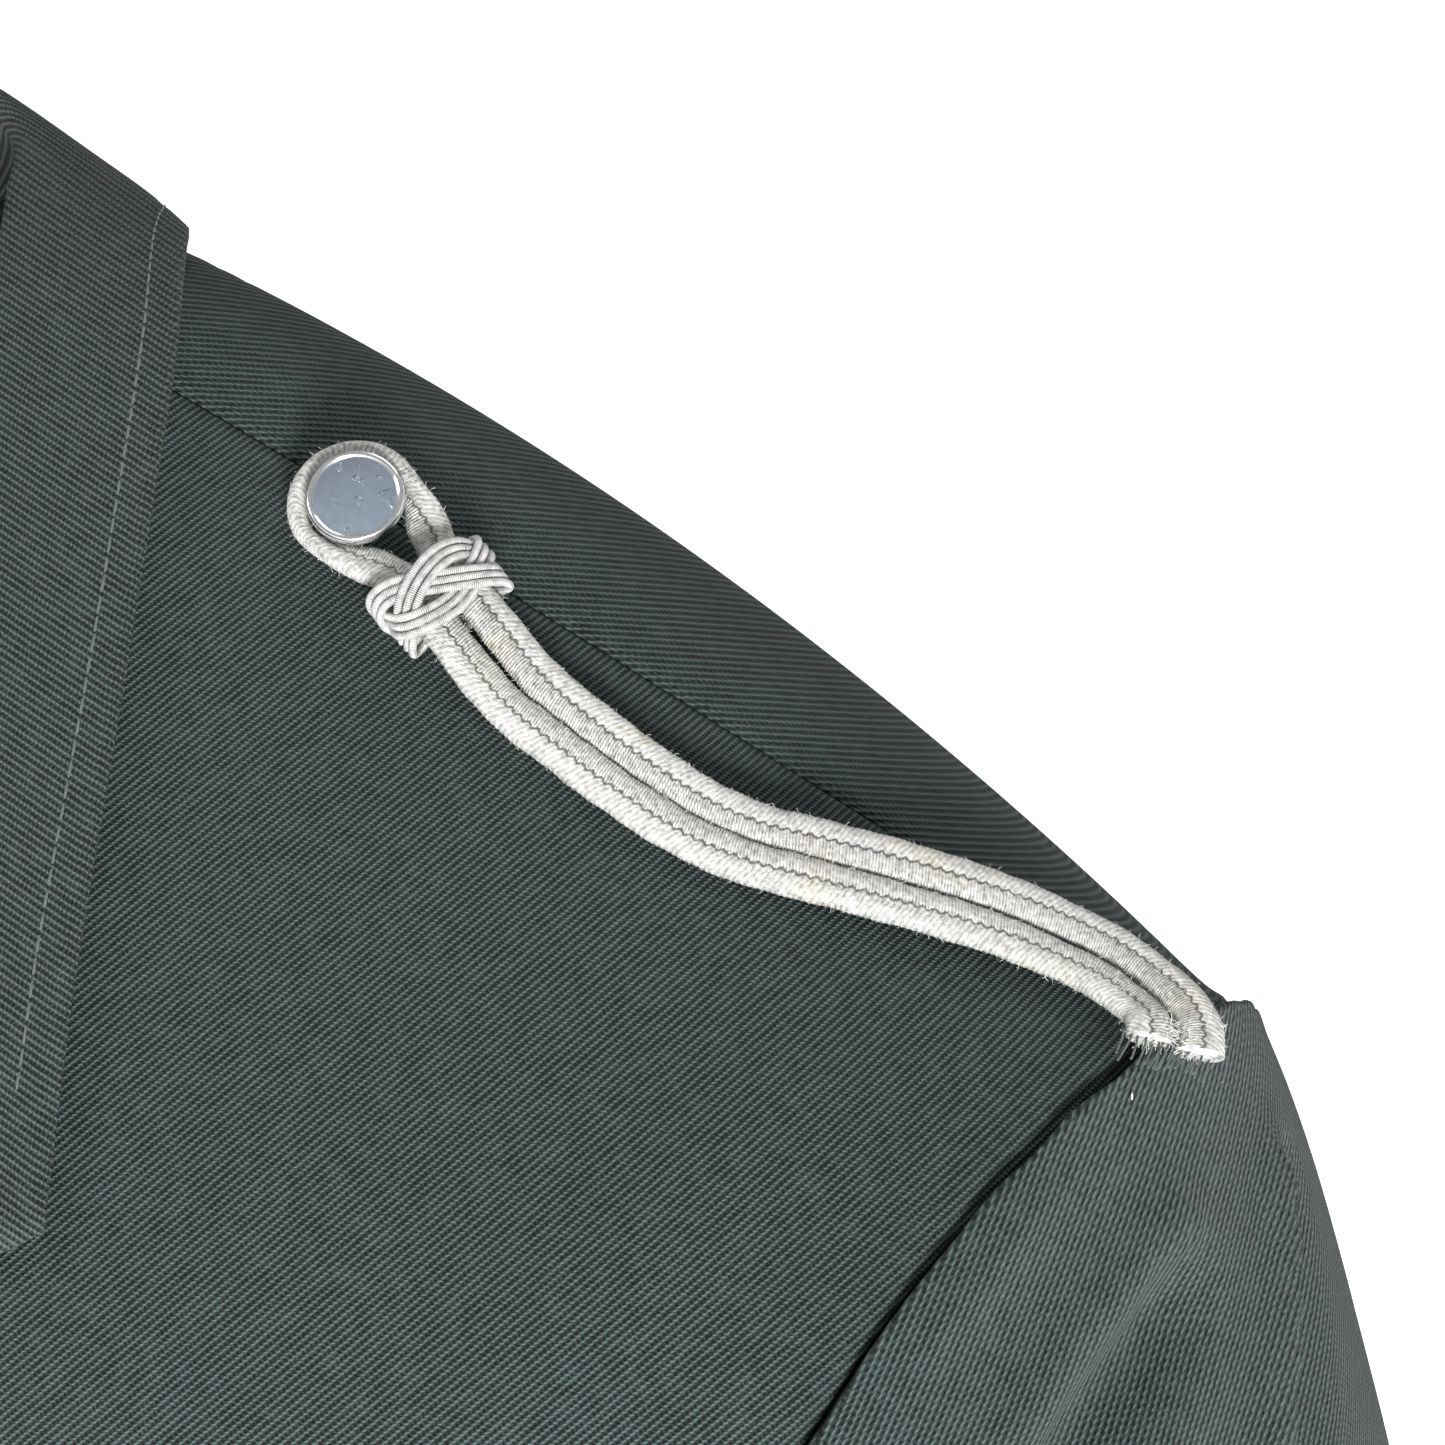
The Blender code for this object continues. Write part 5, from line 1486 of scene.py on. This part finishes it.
def turned_button(name, profile, point, up, aside):
    """A profile turned round the line that stands on point."""
    second = np.cross(up, aside)
    angle = 2 * math.pi * np.arange(TURN_STEPS) / TURN_STEPS
    spokes = np.outer(np.cos(angle), aside) + np.outer(np.sin(angle), second)
    points = [point + up * profile[0][1]]
    for radius, height, _ in profile[1:-1]:
        points += list(point + up * height + spokes * radius)
    points.append(point + up * profile[-1][1])
    rings = len(profile) - 2
    faces, finishes = [], []
    for k in range(TURN_STEPS):
        n = (k + 1) % TURN_STEPS
        faces.append((0, 1 + k, 1 + n))
        finishes.append(0)
        for ring in range(rings - 1):
            a = 1 + ring * TURN_STEPS
            faces.append((a + k, a + TURN_STEPS + k, a + TURN_STEPS + n, a + n))
            finishes.append(profile[ring + 2][2])
        a = 1 + (rings - 1) * TURN_STEPS
        faces.append((a + k, len(points) - 1, a + n))
        finishes.append(2)
    mesh = bpy.data.meshes.new(name)
    if np.cross(aside, second) @ up < 0:
        faces = [face[::-1] for face in faces]
    mesh.from_pydata((np.array(points) * MM).tolist(), [], faces)
    for finish in (disc_finish, rim_finish, shank_finish):
        mesh.materials.append(finish.material)
    mesh.polygons.foreach_set("material_index", np.array(finishes))
    mesh.polygons.foreach_set("use_smooth", np.ones(len(faces), bool))
    mesh.update()
    piece = bpy.data.objects.new(name, mesh)
    bpy.context.scene.collection.objects.link(piece)
    return piece


BUTTON_LEAN = np.array([-0.06, -0.5, 0.0])
button_foot = on_base(113.9, 790.2, 0.0) + np.array([0.7, 0.9, 1.1])
button_up = torso_normal(share_at(113.9, 790.2), 790.2)
button_up = unit(button_up + BUTTON_LEAN)
over = braid_frame(0.0)[2]
button_aside = unit(over - (over @ button_up) * button_up)
buttons = []
for hand, left in (("left", True), ("right", False)):
    flip = (lambda v: v) if left else mirrored
    aside = flip(button_aside) * (1 if left else -1)
    piece = turned_button("braid_button_" + hand, SHOULDER_PROFILE, flip(button_foot), flip(button_up), aside)
    buttons.append((piece, "shoulder_button_" + hand))
for number, along in enumerate((412.0, 336.0, 260.0, 184.0), 1):
    up = torso_normal(0.0, along)
    point = torso(0.0, along) + up * lift_left(0.0, along)
    piece = turned_button("closing_button_%d" % number, FRONT_PROFILE, point, up, np.array([1.0, 0, 0]))
    buttons.append((piece, "front_button_%d" % number))


def pixel(point):
    """Where a point in millimetres shows in the photograph."""
    local = camera.matrix_world.inverted() @ Vector(np.asarray(point) * MM)
    scale = lens.lens / SENSOR * PICTURE_SIDE / -local.z
    return round(PICTURE_SIDE / 2 + local.x * scale), round(PICTURE_SIDE / 2 - local.y * scale)


def extent(piece):
    spots = np.array([pixel(np.array(v.co) / MM) for v in piece.data.vertices])
    return spots.min(axis=0).tolist(), spots.max(axis=0).tolist()


print("button face at", pixel(button_foot + button_up * 9.9), "extent", extent(buttons[0][0]))
print("braid extent", extent(braids["left"]), "knot extent", extent(knots["left"]))

# %% [markdown]
# Loose fibres and the sewn ends
#
# Metal thread is stiff and its ends work loose, so the braid has a fine fuzz along its edges
# and a frayed tuft where it was cut. Points are scattered on the surface from a fixed seed,
# and each gets one bent fibre. A few dark stitches hold the cut ends to the armhole.

# %% Scatter fibres with Geometry Nodes
hair_finish = Finish("loose_silver_fibre", 0.5, 0.1)
hair_finish.colour(hair_finish.blend(hair_finish.noise(300.0), (0.5, 0.5, 0.48), (0.86, 0.85, 0.81)))
dark_thread = Finish("dark_thread", 0.7, Sheen_Weight=0.2)
dark_thread.colour(dark_thread.blend(dark_thread.noise(2400.0), (0.008, 0.012, 0.012), (0.04, 0.055, 0.052)))


def fibre_tree(material):
    """Scatters short bent fibres that lean off a surface."""
    sizes = {"Density": 1.0e6, "Fibre Length": 0.0011, "Fibre Radius": 0.00003, "Lean": 1.1}
    tree, source, output = tree_of("fibres", sizes)
    spots = add(tree, "GeometryNodeDistributePointsOnFaces", {"distribute_method": "RANDOM"}, Mesh=source.outputs[0], Density=source.outputs[1], Seed=7)
    top = add(tree, "ShaderNodeCombineXYZ")
    tree.links.new(source.outputs[2], top.inputs[2])
    bend = tree.nodes.new("ShaderNodeVectorMath")
    bend.operation = "SCALE"
    tree.links.new(top.outputs[0], bend.inputs[0])
    bend.inputs["Scale"].default_value = 0.5
    aside = tree.nodes.new("ShaderNodeVectorMath")
    aside.operation = "ADD"
    tree.links.new(bend.outputs[0], aside.inputs[0])
    aside.inputs[1].default_value = (0.00022, 0.0001, 0.0)
    arc = add(tree, "GeometryNodeCurveQuadraticBezier", Resolution=4)
    arc.inputs["Start"].default_value = (0, 0, -0.0001)
    tree.links.new(aside.outputs[0], arc.inputs["Middle"])
    tree.links.new(top.outputs[0], arc.inputs["End"])
    section = add(tree, "GeometryNodeCurvePrimitiveCircle", Resolution=3, Radius=source.outputs[3])
    fibre = add(tree, "GeometryNodeCurveToMesh", Curve=arc.outputs[0], Profile_Curve=section.outputs[0], Fill_Caps=True)
    spin = add(tree, "FunctionNodeRandomValue", {"data_type": "FLOAT_VECTOR"}, Seed=3)
    spin.inputs["Min"].default_value = (-1.0, -1.0, -1.0)
    spin.inputs["Max"].default_value = (1.0, 1.0, 1.0)
    turned = tree.nodes.new("ShaderNodeVectorMath")
    turned.operation = "SCALE"
    tree.links.new(spin.outputs[0], turned.inputs[0])
    tree.links.new(source.outputs[4], turned.inputs["Scale"])
    euler = add(tree, "FunctionNodeEulerToRotation", Euler=turned.outputs[0])
    leaned = add(tree, "FunctionNodeRotateRotation", {"rotation_space": "LOCAL"}, Rotation=spots.outputs["Rotation"], Rotate_By=euler.outputs[0])
    size = add(tree, "FunctionNodeRandomValue", {"data_type": "FLOAT"}, Seed=5)
    size.inputs[2].default_value = 0.35
    size.inputs[3].default_value = 1.15
    laid = add(tree, "GeometryNodeInstanceOnPoints", Points=spots.outputs[0], Instance=fibre.outputs[0], Rotation=leaned.outputs[0], Scale=size.outputs[1])
    finish_tree(tree, output, laid.outputs[0], material)
    return tree


def surface_copy(source, name, keep):
    """A loose copy of some of a piece's faces, chosen by their middle points in millimetres."""
    mesh = source.data
    middles = np.array([p.center for p in mesh.polygons]) / MM
    chosen = [mesh.polygons[k].vertices[:] for k in np.flatnonzero(keep(middles))]
    copy = bpy.data.meshes.new(name)
    copy.from_pydata([v.co[:] for v in mesh.vertices], [], chosen)
    holder = bpy.data.objects.new(name, copy)
    bpy.context.scene.collection.objects.link(holder)
    return holder


fuzz_tree = fibre_tree(hair_finish.material)
fuzz = {}
cut_point = braid_line[-1]
for hand, left in (("left", True), ("right", False)):
    end = cut_point if left else mirrored(cut_point)
    whole = surface_copy(braids[hand], "fuzz_base", lambda m: np.ones(len(m), bool))
    loose = baked(whole, fuzz_tree, "braid_fuzz_" + hand, Density=4.5e5, Fibre_Length=0.0008, Lean=1.35)
    ends = surface_copy(braids[hand], "tuft_base", lambda m: np.linalg.norm(m - end, axis=1) < 4.6)
    tuft = baked(ends, fuzz_tree, "braid_tuft_" + hand, Density=5.0e6, Fibre_Length=0.0013, Fibre_Radius=0.00004, Lean=1.1)
    fuzz[hand] = joined("braid_fuzz_" + hand, [loose, tuft])


# %% Sewing at the cut ends
def stitch_loop(start, end, lift, radius=0.16, steps=9):
    """One hand stitch from start to end, standing up by lift between them."""
    t = np.linspace(0, 1, steps)[:, None]
    line = start * (1 - t) + end * t + lift * np.sin(math.pi * t)
    way = unit(np.gradient(line, axis=0))
    side = unit(np.cross(way, lift))
    top = np.cross(side, way)
    angle = 2 * math.pi * np.arange(9) / 8
    rings = line[:, None] + radius * (np.cos(angle)[None, :, None] * side[:, None] + np.sin(angle)[None, :, None] * top[:, None])
    uv = np.stack(np.broadcast_arrays(angle[None], t * 3.0), axis=-1)
    return rings, uv


WHITE_STITCH = ((236.4, -13.6, -54.4), (237.6, -15.4, -55.2))
sewing = {}
hand_random = np.random.default_rng(11)
point, way, over, up = braid_frame(braid_length[-1] - 0.4)
point = point + up * 1.5
stitch_lines = []
for k in range(16):
    side = -7.0 + 14.0 * k / 15 + hand_random.uniform(-0.3, 0.3)
    start = point + over * side + way * hand_random.uniform(-0.8, 0.2) + up * 1.2
    end = point + over * (side + hand_random.uniform(-1.2, 1.2)) + way * hand_random.uniform(1.4, 2.6) - up * 2.2
    stitch_lines.append((start, end, (up + way * 0.4) * hand_random.uniform(0.5, 1.1)))
for hand, left in (("left", True), ("right", False)):
    rows = []
    for k, (start, end, lift) in enumerate(stitch_lines):
        rings, uv = stitch_loop(start, end, lift)
        rows.append(tube_mesh("sewing_%d" % k, rings if left else mirrored(rings), uv, dark_thread.material))
    start, end = WHITE_STITCH
    rings, uv = stitch_loop(np.array(start), np.array(end), np.array([0.4, -0.5, 0.3]))
    rows.append(tube_mesh("white_stitch", rings if left else mirrored(rings), uv, hair_finish.material))
    sewing[hand] = joined("braid_sewing_" + hand, rows)
print("stitches at", pixel(point), "white stitch at", pixel(start))

# %% [markdown]
# Fixing every piece to the frame
#
# The jacket has no joints, so every piece rides on the one body. A piece that stands for a CAD solid hides it.

# %% Ride and replace
for name, (piece, node, slot, flat, area, held, rests_on) in sheets.items():
    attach(piece, "root")
    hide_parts(node)
for hand in ("left", "right"):
    for piece, node in ((braids[hand], "cord_" + hand), (knots[hand], "knot_" + hand)):
        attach(piece, "root")
        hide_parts(node)
    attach(fuzz[hand], "root")
    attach(sewing[hand], "root")
for piece in [collar_stitches, *lapel_stitches]:
    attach(piece, "root")
for piece, node in buttons:
    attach(piece, "root")
    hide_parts(node)

# %% [markdown]
# Studio
#
# The photograph has a plain white ground and soft even light, stronger from the right and
# above, so the sleeve is lighter than the chest. A large panel does that, a weaker one fills
# from the left, and the world gives the rest.

# %% Floor and lights
FLOOR_SIDE = 80.0
floor_mesh = bpy.data.meshes.new("studio_floor")
half_floor = FLOOR_SIDE / 2
floor_z = cad_box[0][2] - 0.002
corners = [(-half_floor, -half_floor, floor_z), (half_floor, -half_floor, floor_z), (half_floor, half_floor, floor_z), (-half_floor, half_floor, floor_z)]
floor_mesh.from_pydata(corners, [], [(0, 1, 2, 3)])
floor = bpy.data.objects.new("studio_floor", floor_mesh)
bpy.context.scene.collection.objects.link(floor)
floor_finish = Finish("pale_floor", 0.9, Emission_Color=(1.0, 1.0, 1.0, 1.0), Emission_Strength=0.68)
floor_finish.colour(floor_finish.blend(floor_finish.noise(2.0), (0.93, 0.93, 0.93), (0.95, 0.95, 0.95)))
floor_mesh.materials.append(floor_finish.material)


def panel_light(name, place, aim, size, power, tint=(1, 1, 1)):
    light = bpy.data.lights.new(name, "AREA")
    light.shape = "SQUARE"
    light.size = size
    light.energy = power
    light.color = tint
    holder = bpy.data.objects.new(name, light)
    holder.location = place
    holder.rotation_euler = (Vector(aim) - Vector(place)).to_track_quat("-Z", "Y").to_euler()
    bpy.context.scene.collection.objects.link(holder)


panel_light("key_panel", (1.3, -1.75, 0.05), VIEW_TARGET, 0.45, 92)
panel_light("fill_panel", (-1.4, -1.0, 0.8), VIEW_TARGET, 0.5, 14)
panel_light("back_panel", (0.2, 1.2, 1.9), VIEW_TARGET, 1.2, 20)
world = bpy.data.worlds.new("studio")
world.use_nodes = True
world.node_tree.nodes["Background"].inputs["Color"].default_value = (1.0, 1.0, 1.0, 1.0)
world.node_tree.nodes["Background"].inputs["Strength"].default_value = 0.44
bpy.context.scene.world = world
bpy.context.scene.view_settings.view_transform = "Standard"
